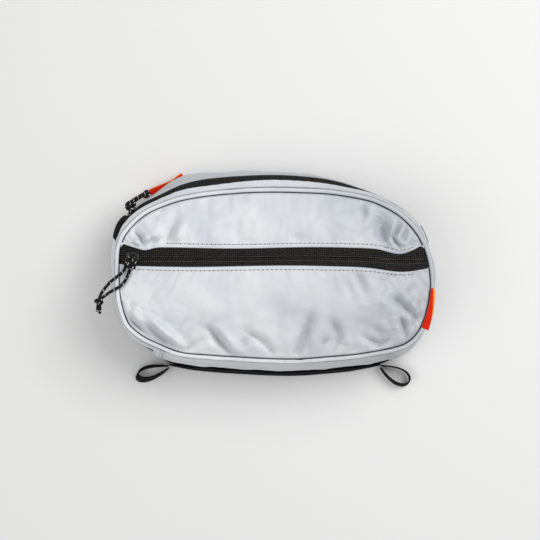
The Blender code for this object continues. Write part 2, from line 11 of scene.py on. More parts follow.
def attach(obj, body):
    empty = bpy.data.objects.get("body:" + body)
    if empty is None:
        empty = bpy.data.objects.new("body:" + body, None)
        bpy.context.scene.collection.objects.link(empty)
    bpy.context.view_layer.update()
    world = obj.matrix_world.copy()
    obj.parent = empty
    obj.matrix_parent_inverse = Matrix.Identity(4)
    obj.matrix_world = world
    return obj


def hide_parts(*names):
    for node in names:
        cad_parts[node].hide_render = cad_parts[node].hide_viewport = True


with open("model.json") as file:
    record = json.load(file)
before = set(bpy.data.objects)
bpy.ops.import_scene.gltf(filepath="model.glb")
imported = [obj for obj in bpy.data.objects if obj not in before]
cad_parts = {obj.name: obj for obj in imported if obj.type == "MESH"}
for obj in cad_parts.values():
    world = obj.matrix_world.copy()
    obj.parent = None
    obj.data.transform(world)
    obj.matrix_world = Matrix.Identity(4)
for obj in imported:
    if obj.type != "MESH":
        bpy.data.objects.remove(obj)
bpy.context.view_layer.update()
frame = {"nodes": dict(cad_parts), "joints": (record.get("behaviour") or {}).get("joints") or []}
JOINTS = {joint["name"]: joint for joint in frame["joints"]}

# Sizes of the pouch, in metres, as its model has them.
HALF_WIDTH = 0.1365
SEAM_TOP = 0.07025
SEAM_BOTTOM = -0.07625
DEPTH = 0.067
CROWN = 0.0145
BINDING = 0.0022
ZIP_Y = 0.0132
ZIP_WINDOW = 0.016
ZIP_ARC = 0.266
ZIP_RISE = 0.0147
ZIP_CENTRE_Y = SEAM_TOP + ZIP_RISE - ZIP_ARC
FRONT_ARC = (HALF_WIDTH ** 2 + CROWN ** 2) / (2 * CROWN)
FRONT_ARC_Z = DEPTH + CROWN - FRONT_ARC
STITCH_PITCH = 0.0039
CORD = 0.0027
KNOT_SIZE = 0.0029
TOOTH_STEP = 0.000325
CLOTH_WALL = 0.0008
LABEL_WALL = 0.0007
WEBBING_WALL = 0.0013
LASH_TOP = 0.0095
LASH_FOOT = 0.0015
LASH_WIDTH = 0.008
CREASE_STRENGTH = 2.7

# Gusset levels, front to back: outside the seam at the top, sides and bottom, corner, height.
LEVELS = (
    (0.0118, 0.0060, 0.0060, 0.0137, 0.058),
    (0.0176, 0.0085, 0.0092, 0.0137, 0.043),
    (0.0210, 0.0095, 0.0130, 0.0210, 0.026),
    (0.0188, 0.0080, 0.0147, 0.0300, 0.0086),
)


# ---------------------------------------------------------------- shape of the pouch

class Outline:
    """A plan outline of tangent arcs; places run from -1 (bottom, by the left) over 0 to 1."""

    def __init__(self, top, bottom, half_width, end_angles, radii):
        angles = np.radians((0.0,) + end_angles)
        starts, ends = angles[:-1], angles[1:]
        quarter = math.pi / 2
        rows = np.array([
            np.sin(ends) - np.sin(starts),
            np.sin(np.minimum(ends, quarter)) - np.sin(np.minimum(starts, quarter)),
            np.cos(starts) - np.cos(ends)])
        known = np.array([radius or 0.0 for radius in radii])
        unknown = [k for k, radius in enumerate(radii) if radius is None]
        wanted = np.array([0.0, half_width, top - bottom]) - rows @ known
        known[unknown] = np.linalg.solve(rows[:, unknown], wanted)
        lengths = known * (ends - starts)
        marks = np.concatenate([[0], np.cumsum(lengths)])
        self.length = marks[-1]
        travelled = np.linspace(0, self.length, 4001)
        arc = np.clip(np.searchsorted(marks, travelled, side="right") - 1, 0, len(known) - 1)
        turned = starts[arc] + (travelled - marks[arc]) / known[arc]
        step = self.length / 4000
        middle = (turned[1:] + turned[:-1]) / 2
        self.x = np.concatenate([[0], np.cumsum(np.cos(middle) * step)])
        self.y = top - np.concatenate([[0], np.cumsum(np.sin(middle) * step)])
        self.angle = turned
        self.places = travelled / self.length

    def at(self, place, offset=0.0):
        place = np.asarray(place, float)
        wrapped = (place + 1) % 2 - 1
        side = np.where(wrapped < 0, -1.0, 1.0)
        x = np.interp(np.abs(wrapped), self.places, self.x)
        y = np.interp(np.abs(wrapped), self.places, self.y)
        angle = np.interp(np.abs(wrapped), self.places, self.angle)
        return side * (x + offset * np.sin(angle)), y + offset * np.cos(angle)


def gusset_level(top, side, bottom, corner):
    half_width = HALF_WIDTH + side
    radius = ZIP_ARC + top - ZIP_RISE
    first = math.degrees(math.asin((half_width - corner) / radius))
    return Outline(SEAM_TOP + top, SEAM_BOTTOM - bottom, half_width,
                   (first, 70.0, 105.0, 170.0, 180.0), (radius, None, None, None, 0.53 + bottom))


SEAM = Outline(SEAM_TOP, SEAM_BOTTOM, HALF_WIDTH, (9.0, 78.0, 105.0, 168.0, 180.0),
               (0.52, None, None, None, 0.53))
RINGS = [gusset_level(*level[:4]) for level in LEVELS]


def bump(value, middle, width):
    return np.exp(-((np.asarray(value, float) - middle) / width) ** 2)


# How far the filled pouch's front seam stands outside its sewn outline, in mm, at places round it.
SLACK = (
    (-1.0, -0.5), (-0.92, -1.2), (-0.84, -0.7), (-0.77, 0.8), (-0.73, -2.0), (-0.69, -6.0),
    (-0.645, -6.6), (-0.60, -2.4), (-0.55, -0.6), (-0.50, 0.1), (-0.455, 1.9), (-0.41, 4.8),
    (-0.36, 2.8), (-0.325, 1.5), (-0.27, -1.3), (-0.20, 0.1), (-0.08, 0.5), (0.06, 0.4),
    (0.135, 1.0), (0.22, -0.3), (0.275, -2.4), (0.35, -2.0), (0.40, -1.3), (0.50, 0.1),
    (0.56, -0.9), (0.62, -3.1), (0.66, -2.0), (0.70, 0.1), (0.80, 0.4), (0.87, -0.3),
    (0.95, 0.1), (1.0, -0.5),
)


def slack(place):
    place = (np.asarray(place, float) + 1) % 2 - 1
    marks, amounts = np.array(SLACK).T
    soft = 0
    for shift in (-0.02, -0.01, 0.0, 0.01, 0.02):
        soft = soft + 0.2 * np.interp((place + shift + 1) % 2 - 1, marks, amounts)
    return soft / 1000


# Where each gusset level stands off its even line, in mm: place, half width, amount.
LEANS = (
    ((-0.245, 0.085, 5.2), (-0.395, 0.050, -3.0), (0.25, 0.070, 3.6), (0.41, 0.055, -3.0),
     (0.362, 0.030, -2.6), (-0.365, 0.022, -1.4), (-0.650, 0.050, 5.0), (0.645, 0.050, 4.6)),
    ((-0.215, 0.105, 5.0), (-0.385, 0.040, -2.2), (-0.45, 0.030, 1.2), (0.24, 0.080, -1.2),
     (0.415, 0.075, -9.0), (0.355, 0.045, -3.2), (-0.350, 0.025, -2.8), (-0.650, 0.050, 4.2),
     (0.645, 0.050, 4.2)),
    ((-0.205, 0.075, 9.2), (-0.08, 0.050, 2.2), (0.27, 0.130, -6.0), (0.43, 0.100, -7.0),
     (-0.375, 0.035, -5.0), (-0.650, 0.060, 5.6), (0.655, 0.055, 4.2), (-0.95, 0.12, -1.3),
     (0.95, 0.12, -1.3)),
    ((-0.205, 0.075, 5.0), (-0.08, 0.050, 1.2), (0.27, 0.130, -3.3), (0.43, 0.100, -4.7),
     (-0.645, 0.060, 2.2), (-0.712, 0.032, -2.4), (0.655, 0.055, 2.0), (0.705, 0.030, -1.6)),
)


def lean(place, level):
    """How far one gusset level stands outside its even line, as the filled pouch slumps."""
    return sum(amount / 1000 * bump(place, middle, width) for middle, width, amount in LEANS[level - 1])


def follow(place, level):
    """How much of the seam's slack a gusset level takes up: all that goes in, less that goes out."""
    amount = slack(place)
    return np.where(amount > 0, amount * (1.0, 0.95, 0.8, 0.5, 0.3)[level], amount)


def seam_point(place, offset, z):
    x, y = SEAM.at(place, offset + slack(place))
    return np.stack(np.broadcast_arrays(x, y, z), -1)


def wall(places, heights):
    """The gusset's surface, places by heights: 0 front seam, 1 and 2 zip folds, 4 back seam."""
    places, heights = np.asarray(places, float), np.asarray(heights, float)
    knots = [seam_point(places, 2 * BINDING - 0.0003, DEPTH - 0.0014)]
    for k, (ring, level) in enumerate(zip(RINGS, LEVELS), 1):
        x, y = ring.at(places, follow(places, k) + lean(places, k))
        knots.append(np.stack([x, y, np.full_like(x, level[4])], -1))
    rows = []
    for height in heights:
        k = int(min(height, 3.999))
        t = height - k
        start, end = knots[k], knots[k + 1]
        leave = (end - knots[max(k - 1, 0)]) / 2
        arrive = (knots[min(k + 2, 4)] - start) / 2
        rows.append(start * (2 * t ** 3 - 3 * t ** 2 + 1) + leave * (t ** 3 - 2 * t ** 2 + t)
                    + end * (3 * t ** 2 - 2 * t ** 3) + arrive * (t ** 3 - t ** 2))
    return np.stack(rows, 1)


def ripple(x, y, size, seed, waves=9):
    """Smooth uneven waves about one size long, between -1 and 1."""
    pick = np.random.default_rng(seed)
    total = 0
    for _ in range(waves):
        turn = pick.uniform(0, math.tau)
        number = math.tau / (size * pick.uniform(0.7, 1.6))
        total = total + np.sin(number * (x * math.cos(turn) + y * math.sin(turn))
                               + pick.uniform(0, math.tau))
    return total / waves * 1.6


def crumple(x, y, cell, seed):
    """Flat facets with crisp edges between them, about one cell wide, as in stiff coated cloth."""
    pick = np.random.default_rng(seed)
    columns, rows = int(0.36 / cell) + 2, int(0.24 / cell) + 2
    field = 0
    for sign in (1, -1):
        nearest = np.full(np.shape(x), 1e9)
        for i in range(columns):
            for j in range(rows):
                across, up = (np.array([i, j]) + pick.uniform(-0.45, 0.45, 2)) * cell
                nearest = np.minimum(nearest, (x + 0.18 - across) ** 2 + (y + 0.12 - up) ** 2)
        field = field + sign * nearest
    return field / cell ** 2


def normals_of(points):
    across = np.gradient(points, axis=0)
    down = np.gradient(points, axis=1)
    normal = np.cross(across, down)
    return normal / np.maximum(np.linalg.norm(normal, axis=-1, keepdims=True), 1e-12)


# Folds in the front: route, depth (up is positive), half width, and sharpness from 0 to 1.
CREASES = (
    (((-0.1235, 0.0360), (-0.1178, 0.0302), (-0.1150, 0.0215)), -0.0022, 0.0022, 1.0),
    (((-0.1285, 0.0262), (-0.1215, 0.0262), (-0.1155, 0.0212)), 0.0016, 0.0030, 0.3),
    (((-0.1088, 0.0228), (-0.1062, 0.0262), (-0.1010, 0.0288)), -0.0020, 0.0020, 1.0),
    (((-0.1178, 0.0250), (-0.1100, 0.0330), (-0.1000, 0.0335)), 0.0014, 0.0050, 0.0),
    (((-0.0830, 0.0455), (-0.0880, 0.0420), (-0.0930, 0.0330), (-0.0962, 0.0255)),
     -0.0022, 0.0052, 0.2),
    (((-0.0790, 0.0480), (-0.0822, 0.0380), (-0.0880, 0.0260)), 0.0012, 0.0055, 0.0),
    (((0.0910, 0.0510), (0.0930, 0.0400), (0.0975, 0.0260)), -0.0030, 0.0058, 0.2),
    (((0.1035, 0.0480), (0.1010, 0.0360), (0.1040, 0.0250)), 0.0018, 0.0042, 0.0),
    (((0.1092, 0.0440), (0.1065, 0.0365), (0.1035, 0.0302), (0.1075, 0.0245), (0.1120, 0.0195)),
     -0.0026, 0.0020, 1.0),
    (((0.1180, 0.0385), (0.1140, 0.0330), (0.1125, 0.0290)), -0.0014, 0.0022, 0.7),
    (((0.1120, 0.0190), (0.1170, 0.0235), (0.1265, 0.0265)), -0.0012, 0.0024, 0.5),
    (((0.0760, 0.0600), (0.0782, 0.0540), (0.0790, 0.0480)), -0.0012, 0.0030, 0.2),
    (((0.0160, 0.0330), (0.0220, 0.0290), (0.0260, 0.0240)), -0.0009, 0.0050, 0.0),
    (((-0.1302, -0.0386), (-0.1220, -0.0465), (-0.1135, -0.0540), (-0.1095, -0.0580)),
     -0.0034, 0.0030, 1.0),
    (((-0.1090, -0.0395), (-0.0980, -0.0500), (-0.0890, -0.0580), (-0.0800, -0.0640)),
     0.0024, 0.0044, 0.3),
    (((-0.1150, -0.0430), (-0.1040, -0.0545), (-0.0930, -0.0640)), -0.0024, 0.0036, 0.5),
    (((-0.0580, -0.0490), (-0.0500, -0.0590), (-0.0380, -0.0725)), -0.0022, 0.0030, 0.7),
    (((-0.0480, -0.0480), (-0.0400, -0.0590), (-0.0290, -0.0700)), 0.0014, 0.0048, 0.0),
    (((-0.0250, -0.0520), (-0.0120, -0.0600), (-0.0020, -0.0700)), -0.0016, 0.0034, 0.6),
    (((0.0500, -0.0420), (0.0560, -0.0560), (0.0520, -0.0690)), -0.0012, 0.0040, 0.4),
    (((0.0780, -0.0560), (0.0900, -0.0620), (0.0985, -0.0600)), -0.0016, 0.0030, 0.6),
    (((-0.0280, -0.0560), (-0.0230, -0.0640)), -0.0012, 0.0055, 0.0),
    (((0.0310, -0.0380), (0.0250, -0.0550), (0.0178, -0.0735)), -0.0019, 0.0050, 0.2),
    (((0.0420, -0.0380), (0.0370, -0.0560), (0.0300, -0.0720)), 0.0013, 0.0060, 0.0),
    (((0.0635, -0.0065), (0.0660, -0.0130), (0.0680, -0.0200)), -0.0010, 0.0042, 0.1),
    (((0.0705, 0.0000), (0.0750, -0.0080), (0.0800, -0.0190)), -0.0016, 0.0040, 0.3),
    (((0.1035, -0.0220), (0.1130, -0.0300), (0.1235, -0.0400)), -0.0026, 0.0034, 0.6),
    (((0.1100, -0.0370), (0.1130, -0.0480), (0.1160, -0.0590)), -0.0028, 0.0032, 0.7),
    (((0.1180, -0.0250), (0.1240, -0.0330)), 0.0012, 0.0050, 0.0),
    (((0.0420, -0.0580), (0.0470, -0.0620)), -0.0010, 0.0050, 0.0),
    (((-0.0100, -0.0250), (0.0100, -0.0400), (0.0230, -0.0620)), -0.0008, 0.0110, 0.0),
    (((-0.0750, -0.0150), (-0.0600, -0.0350), (-0.0350, -0.0520)), 0.0010, 0.0140, 0.0),
    (((0.0600, -0.0500), (0.0850, -0.0450), (0.0980, -0.0620)), -0.0010, 0.0090, 0.0),
)


def soften(field, times):
    """Each value averaged with its grid neighbours, several times over."""
    for _ in range(times):
        padded = np.pad(field, 1, mode="edge")
        field = (padded[:-2, 1:-1] + padded[2:, 1:-1] + padded[1:-1, :-2] + padded[1:-1, 2:]
                 + padded[1:-1, 1:-1]) / 5
    return field


def crease_lift(x, y):
    """Height that all the folds together add at plan points."""
    lift = np.zeros_like(x)
    for route, depth, half_width, sharpness in CREASES:
        route = np.array(smooth_line(route, 0.002))
        best = np.full(x.shape, 1e9)
        along = np.zeros_like(x)
        total = len(route) - 1
        for k, (start, end) in enumerate(zip(route[:-1], route[1:])):
            step = end - start
            share = ((x - start[0]) * step[0] + (y - start[1]) * step[1]) / (step @ step)
            share = np.clip(share, 0, 1)
            away = np.hypot(x - start[0] - share * step[0], y - start[1] - share * step[1])
            closer = away < best
            best = np.where(closer, away, best)
            along = np.where(closer, (k + share) / total, along)
        taper = np.clip(np.sin(math.pi * np.clip(along * 0.84 + 0.08, 0, 1)), 0, 1) ** 0.7
        reach = best / half_width
        soft = np.exp(-reach ** 2)
        sharp = np.exp(-reach * 1.5) - 0.30 * np.exp(-(reach - 2.2) ** 2)
        lift += depth * taper * (soft * (1 - sharpness) + sharp * sharpness)
    return lift


def smooth_line(points, step):
    """Points at even steps on the smooth curve through a route's own points."""
    points = [np.array(point, float) for point in points]
    ends = [points[0] * 2 - points[1]] + points + [points[-1] * 2 - points[-2]]
    dense = []
    for a, b, c, d in zip(ends[:-3], ends[1:-2], ends[2:-1], ends[3:]):
        for k in range(16):
            t = k / 16
            dense.append(b + (c - a) * (t / 2) + (a * 2 - b * 5 + c * 4 - d) * (t * t / 2)
                         + (b * 3 - a - c * 3 + d) * (t ** 3 / 2))
    dense = np.array(dense + [points[-1]])
    marks = np.concatenate([[0], np.cumsum(np.linalg.norm(np.diff(dense, axis=0), axis=1))])
    wanted = np.linspace(0, marks[-1], max(2, round(marks[-1] / step)) + 1)
    return np.stack([np.interp(wanted, marks, dense[:, k]) for k in range(dense.shape[1])], -1)


# ---------------------------------------------------------------- mesh helpers

def new_object(name, mesh):
    obj = bpy.data.objects.new(name, mesh)
    bpy.context.scene.collection.objects.link(obj)
    return obj


def only(obj):
    bpy.ops.object.select_all(action="DESELECT")
    obj.select_set(True)
    bpy.context.view_layer.objects.active = obj


def apply(obj, kind, **settings):
    only(obj)
    modifier = obj.modifiers.new(kind.lower(), kind)
    for key, value in settings.items():
        setattr(modifier, key, value)
    bpy.ops.object.modifier_apply(modifier=modifier.name)


def grid_mesh(name, points, uv, closed=False, flip=False):
    """A sheet mesh from a grid of points, with a metric UV map; closed joins its last column."""
    columns, rows = points.shape[:2]
    index = np.arange(columns * rows).reshape(columns, rows)
    nxt = np.roll(index, -1, axis=0) if closed else index[1:]
    cur = index if closed else index[:-1]
    corners = np.stack([cur[:, :-1], nxt[:, :-1], nxt[:, 1:], cur[:, 1:]], -1).reshape(-1, 4)
    if flip:
        corners = corners[:, ::-1]
    mesh = bpy.data.meshes.new(name)
    mesh.from_pydata(points.reshape(-1, 3).tolist(), [], corners.tolist())
    layer = mesh.uv_layers.new(name="cloth")
    flat = uv.reshape(-1, 2)
    loops = flat[corners.reshape(-1)]
    layer.data.foreach_set("uv", loops.astype(np.float32).reshape(-1))
    mesh.shade_smooth()
    return new_object(name, mesh)


def metric_uv(points):
    """UV in metres along and across a grid of points."""
    along = np.linalg.norm(np.diff(points, axis=0), axis=-1).mean(1)
    across = np.linalg.norm(np.diff(points, axis=1), axis=-1).mean(0)
    u = np.concatenate([[0], np.cumsum(along)])
    v = np.concatenate([[0], np.cumsum(across)])
    return np.stack(np.meshgrid(u, v, indexing="ij"), -1)


def paint_valley_shade(obj, depth):
    """Writes how much painted shade darkens each point of a grid, from 0 to 1, in seam valleys and folds
    where shade falls.
    """
    layer = obj.data.attributes.new("painted_valley_shade", "FLOAT", "POINT")
    layer.data.foreach_set("value", np.clip(depth, 0, 1).astype(np.float32).reshape(-1))


def cloth(name, points, thickness=CLOTH_WALL, flip=False, uv=None, valley_shade=None):
    obj = grid_mesh(name, points, metric_uv(points) if uv is None else uv, flip=flip)
    if valley_shade is not None:
        paint_valley_shade(obj, valley_shade)
    apply(obj, "SOLIDIFY", thickness=thickness, offset=-1.0)
    return obj


def settle(points, pinned, spare, pressure, cap, flip=False, steps=20):
    """How far a sewn-in grid of cloth moves as it finds its own folds over the filled pouch."""
    obj = grid_mesh("settling_cloth", points, metric_uv(points), flip=flip)
    group = obj.vertex_groups.new(name="sewn")
    group.add(np.flatnonzero(pinned.reshape(-1)).tolist(), 1.0, "REPLACE")
    only(obj)
    modifier = obj.modifiers.new("cloth", "CLOTH")
    modifier.point_cache.frame_start, modifier.point_cache.frame_end = 1, steps
    settings = modifier.settings
    settings.quality = 6
    settings.mass = 0.15
    settings.tension_stiffness = settings.compression_stiffness = 25
    settings.shear_stiffness = 12
    settings.bending_stiffness = 0.25
    settings.vertex_group_mass = "sewn"
    settings.shrink_min = settings.shrink_max = -spare
    settings.use_pressure = True
    settings.uniform_pressure_force = pressure
    settings.effector_weights.gravity = 0
    modifier.collision_settings.use_collision = False
    scene = bpy.context.scene
    for step in range(1, steps + 1):
        scene.frame_set(step)
    settled = obj.evaluated_get(bpy.context.evaluated_depsgraph_get()).data
    moved = np.empty(len(settled.vertices) * 3, np.float32)
    settled.vertices.foreach_get("co", moved)
    moved = moved.reshape(points.shape).astype(float) - points
    bpy.data.objects.remove(obj)
    scene.frame_set(1)
    far = np.linalg.norm(moved, axis=-1, keepdims=True)
    return moved * np.where(far > 0, cap * np.tanh(far / cap) / np.maximum(far, 1e-9), 1.0)


def spread(coarse, across, down, fine_across, fine_down):
    """A coarse grid's values read at the places of a finer one."""
    first = np.stack([[np.interp(fine_across, across, coarse[:, k, axis])
                       for k in range(coarse.shape[1])] for axis in range(3)])
    return np.stack([[np.interp(fine_down, down, first[axis][:, k])
                      for k in range(len(fine_across))] for axis in range(3)], -1)


def tube(name, path, radius, sides=12, braid=0.0, closed=False):
    """A round tube along a path, with capped ends and a UV map round and along it."""
    path = np.asarray(path, float)
    if closed:
        tangent = np.roll(path, -1, 0) - np.roll(path, 1, 0)
    else:
        tangent = np.gradient(path, axis=0)
    tangent /= np.linalg.norm(tangent, axis=1, keepdims=True)
    side = np.cross(tangent[0], (0.13, 0.21, 0.97))
    frames = []
    for direction in tangent:
        side = side - direction * (side @ direction)
        side /= np.linalg.norm(side)
        frames.append((side, np.cross(direction, side)))
    step = np.linalg.norm(np.diff(path, axis=0), axis=1)
    along = np.concatenate([[0], np.cumsum(step)])
    turn = np.arange(sides + 1) / sides * math.tau
    radius = np.broadcast_to(radius, len(path))
    points, uv = [], []
    for (a, b), centre, run, size in zip(frames, path, along, radius):
        wave = np.cos(turn * 8 + run * 5200) * np.cos(turn * 8 - run * 5200)
        reach = size * (1 + braid * wave)
        ring = centre + np.outer(reach * np.cos(turn), a) + np.outer(reach * np.sin(turn), b)
        points.append(ring[::-1])
        uv.append(np.stack([turn[::-1] / math.tau * 0.01, np.full_like(turn, run)], -1))
    points, uv = np.array(points), np.array(uv)
    if not closed:
        for end, sign in ((0, -1), (-1, 1)):
            caps = [path[end] + (points[end] - path[end]) * share
                    + tangent[end] * sign * radius[end] * lift
                    for share, lift in ((0.0, 0.55), (0.55, 0.45), (0.86, 0.22))]
            cap_uv = [uv[end]] * len(caps)
            if end == 0:
                points, uv = np.concatenate([caps, points]), np.concatenate([cap_uv, uv])
            else:
                points, uv = np.concatenate([points, caps[::-1]]), np.concatenate([uv, cap_uv])
    obj = grid_mesh(name, points, uv, closed=closed)
    weld(obj)
    return obj


def weld(obj, distance=0.00001):
    bm = bmesh.new()
    bm.from_mesh(obj.data)
    bmesh.ops.remove_doubles(bm, verts=bm.verts, dist=distance)
    bmesh.ops.dissolve_degenerate(bm, edges=bm.edges, dist=distance / 10)
    bmesh.ops.recalc_face_normals(bm, faces=bm.faces)
    bm.to_mesh(obj.data)
    bm.free()


def scatter(name, template, placings):
    """One mesh of many placed copies of a small template object, which is removed."""
    base = np.array([vertex.co for vertex in template.data.vertices])
    faces = [list(face.vertices) for face in template.data.polygons]
    points, all_faces = [], []
    for k, placing in enumerate(placings):
        turn = np.array(placing)
        points.append(base @ turn[:3, :3].T + turn[:3, 3])
        all_faces += [[v + k * len(base) for v in face] for face in faces]
    mesh = bpy.data.meshes.new(name)
    mesh.from_pydata(np.concatenate(points).tolist(), [], all_faces)
    mesh.shade_smooth()
    bpy.data.objects.remove(template)
    return new_object(name, mesh)


def place_matrix(spot, ahead, up, size=(1, 1, 1)):
    ahead, up = Vector(ahead).normalized(), Vector(up)
    across = up.cross(ahead).normalized()
    up = ahead.cross(across)
    turn = Matrix((ahead, across, up)).transposed().to_4x4()
    turn.translation = Vector(spot)
    return turn @ Matrix.Diagonal((*size, 1))


def small_ball():
    bpy.ops.object.select_all(action="DESELECT")
    bpy.ops.mesh.primitive_uv_sphere_add(segments=8, ring_count=6, radius=1)
    return bpy.context.object


def distances(line):
    """How far along a line each of its points lies."""
    return np.concatenate([[0], np.cumsum(np.linalg.norm(np.diff(line, axis=0), axis=1))])


def read_at(run, marks, rows):
    """A line's row of values at one distance along it."""
    return np.array([np.interp(run, marks, rows[:, axis]) for axis in range(3)])


def stitches(name, line, up, pitch=STITCH_PITCH, thread=0.00034):
    """A run of stitches: a thread that shows between needle holes, along an even line."""
    template = small_ball()
    placings = []
    marks = distances(line)
    for k in range(int(marks[-1] / pitch)):
        start, end = [read_at((k + share) * pitch, marks, line) for share in (0.16, 0.84)]
        ahead = end - start
        half = np.linalg.norm(ahead) / 2
        normal = read_at((k + 0.5) * pitch, marks, up)
        placings.append(place_matrix((start + end) / 2, ahead, normal, (half, thread, thread)))
    return scatter(name, template, placings)


# Small dark ellipsoids at each needle hole, standing for the shade inside the hole: painted shade.
def needle_holes(name, line, up, pitch=STITCH_PITCH, size=0.00078):
    template = small_ball()
    placings = []
    marks = distances(line)
    ahead = np.gradient(line, axis=0)
    for k in range(int(marks[-1] / pitch) + 1):
        spot, normal, along = [read_at(k * pitch, marks, rows) for rows in (line, up, ahead)]
        placings.append(place_matrix(spot, along, normal, (size * 0.85, size * 0.62, size * 0.35)))
    return scatter(name, template, placings)


# ---------------------------------------------------------------- materials

def group_of(name, inputs, outputs):
    tree = bpy.data.node_groups.new(name, "ShaderNodeTree")
    for label, kind, default in inputs:
        socket = tree.interface.new_socket(label, in_out="INPUT", socket_type=kind)
        if default is not None:
            socket.default_value = default
    for label, kind in outputs:
        tree.interface.new_socket(label, in_out="OUTPUT", socket_type=kind)
    return tree, tree.nodes.new("NodeGroupInput"), tree.nodes.new("NodeGroupOutput")


def math_node(tree, operation, *values):
    node = tree.nodes.new("ShaderNodeMath")
    node.operation = operation
    for socket, value in zip(node.inputs, values):
        if isinstance(value, (int, float)):
            socket.default_value = value
        else:
            tree.links.new(value, socket)
    return node.outputs[0]


def weave_group():
    """Plain weave: crossing rounded threads, from a UV map in metres."""
    tree, given, result = group_of(
        "plain_weave", (("Vector", "NodeSocketVector", None), ("Pitch", "NodeSocketFloat", 0.0005)),
        (("Height", "NodeSocketFloat"),))
    split = tree.nodes.new("ShaderNodeSeparateXYZ")
    tree.links.new(given.outputs["Vector"], split.inputs[0])
    half = math_node(tree, "DIVIDE", math.pi, given.outputs["Pitch"])
    u = math_node(tree, "MULTIPLY", split.outputs[0], half)
    v = math_node(tree, "MULTIPLY", split.outputs[1], half)
    warp = math_node(tree, "ABSOLUTE", math_node(tree, "SINE", u))
    weft = math_node(tree, "ABSOLUTE", math_node(tree, "SINE", v))
    swap = math_node(tree, "MULTIPLY", math_node(tree, "SINE", u), math_node(tree, "SINE", v))
    over = math_node(tree, "MULTIPLY_ADD", math_node(tree, "SIGN", swap), 0.5, 0.5)
    under = math_node(tree, "SUBTRACT", 1.0, over)
    height = math_node(tree, "ADD", math_node(tree, "MULTIPLY", warp, over),
                       math_node(tree, "MULTIPLY", weft, under))
    tree.links.new(height, result.inputs["Height"])
    return tree


def mottle_group():
    """Uneven soft patches and fine specks on object coordinates."""
    tree, given, result = group_of(
        "handling_marks", (("Size", "NodeSocketFloat", 30.0),),
        (("Patches", "NodeSocketFloat"), ("Specks", "NodeSocketFloat")))
    place = tree.nodes.new("ShaderNodeTexCoord")
    for label, scale, detail in (("Patches", 1.0, 3.0), ("Specks", 22.0, 2.0)):
        noise = tree.nodes.new("ShaderNodeTexNoise")
        noise.inputs["Detail"].default_value = detail
        tree.links.new(place.outputs["Object"], noise.inputs["Vector"])
        size = math_node(tree, "MULTIPLY", given.outputs["Size"], scale)
        tree.links.new(size, noise.inputs["Scale"])
        tree.links.new(noise.outputs["Fac"], result.inputs[label])
    return tree


WEAVE = weave_group()
MOTTLE = mottle_group()


def start_material(name, roughness, metallic=0.0, specular=0.5):
    material = bpy.data.materials.new(name)
    material.use_nodes = True
    tree = material.node_tree
    shader = tree.nodes["Principled BSDF"]
    shader.inputs["Roughness"].default_value = roughness
    shader.inputs["Metallic"].default_value = metallic
    shader.inputs["Specular IOR Level"].default_value = specular
    return material, tree, shader


def use_group(tree, group, **values):
    node = tree.nodes.new("ShaderNodeGroup")
    node.node_tree = group
    for key, value in values.items():
        if isinstance(value, (int, float)):
            node.inputs[key].default_value = value
        else:
            tree.links.new(value, node.inputs[key])
    return node


def ramp(tree, factor, stops):
    node = tree.nodes.new("ShaderNodeValToRGB")
    while len(node.color_ramp.elements) < len(stops):
        node.color_ramp.elements.new(0.5)
    for element, (position, color) in zip(node.color_ramp.elements, stops):
        element.position = position
        element.color = (*color, 1.0)
    tree.links.new(factor, node.inputs[0])
    return node.outputs[0]


def mix(tree, factor, first, second):
    node = tree.nodes.new("ShaderNodeMix")
    node.data_type = "RGBA"
    tree.links.new(factor, node.inputs["Factor"])
    for socket, value in ((node.inputs[6], first), (node.inputs[7], second)):
        if isinstance(value, tuple):
            socket.default_value = (*value, 1.0)
        else:
            tree.links.new(value, socket)
    return node.outputs[2]


def add_bump(tree, shader, height, distance, strength=1.0):
    node = tree.nodes.new("ShaderNodeBump")
    node.inputs["Distance"].default_value = distance
    node.inputs["Strength"].default_value = strength
    tree.links.new(height, node.inputs["Height"])
    tree.links.new(node.outputs[0], shader.inputs["Normal"])


def uv_of(tree, name="cloth"):
    node = tree.nodes.new("ShaderNodeUVMap")
    node.uv_map = name
    return node.outputs[0]


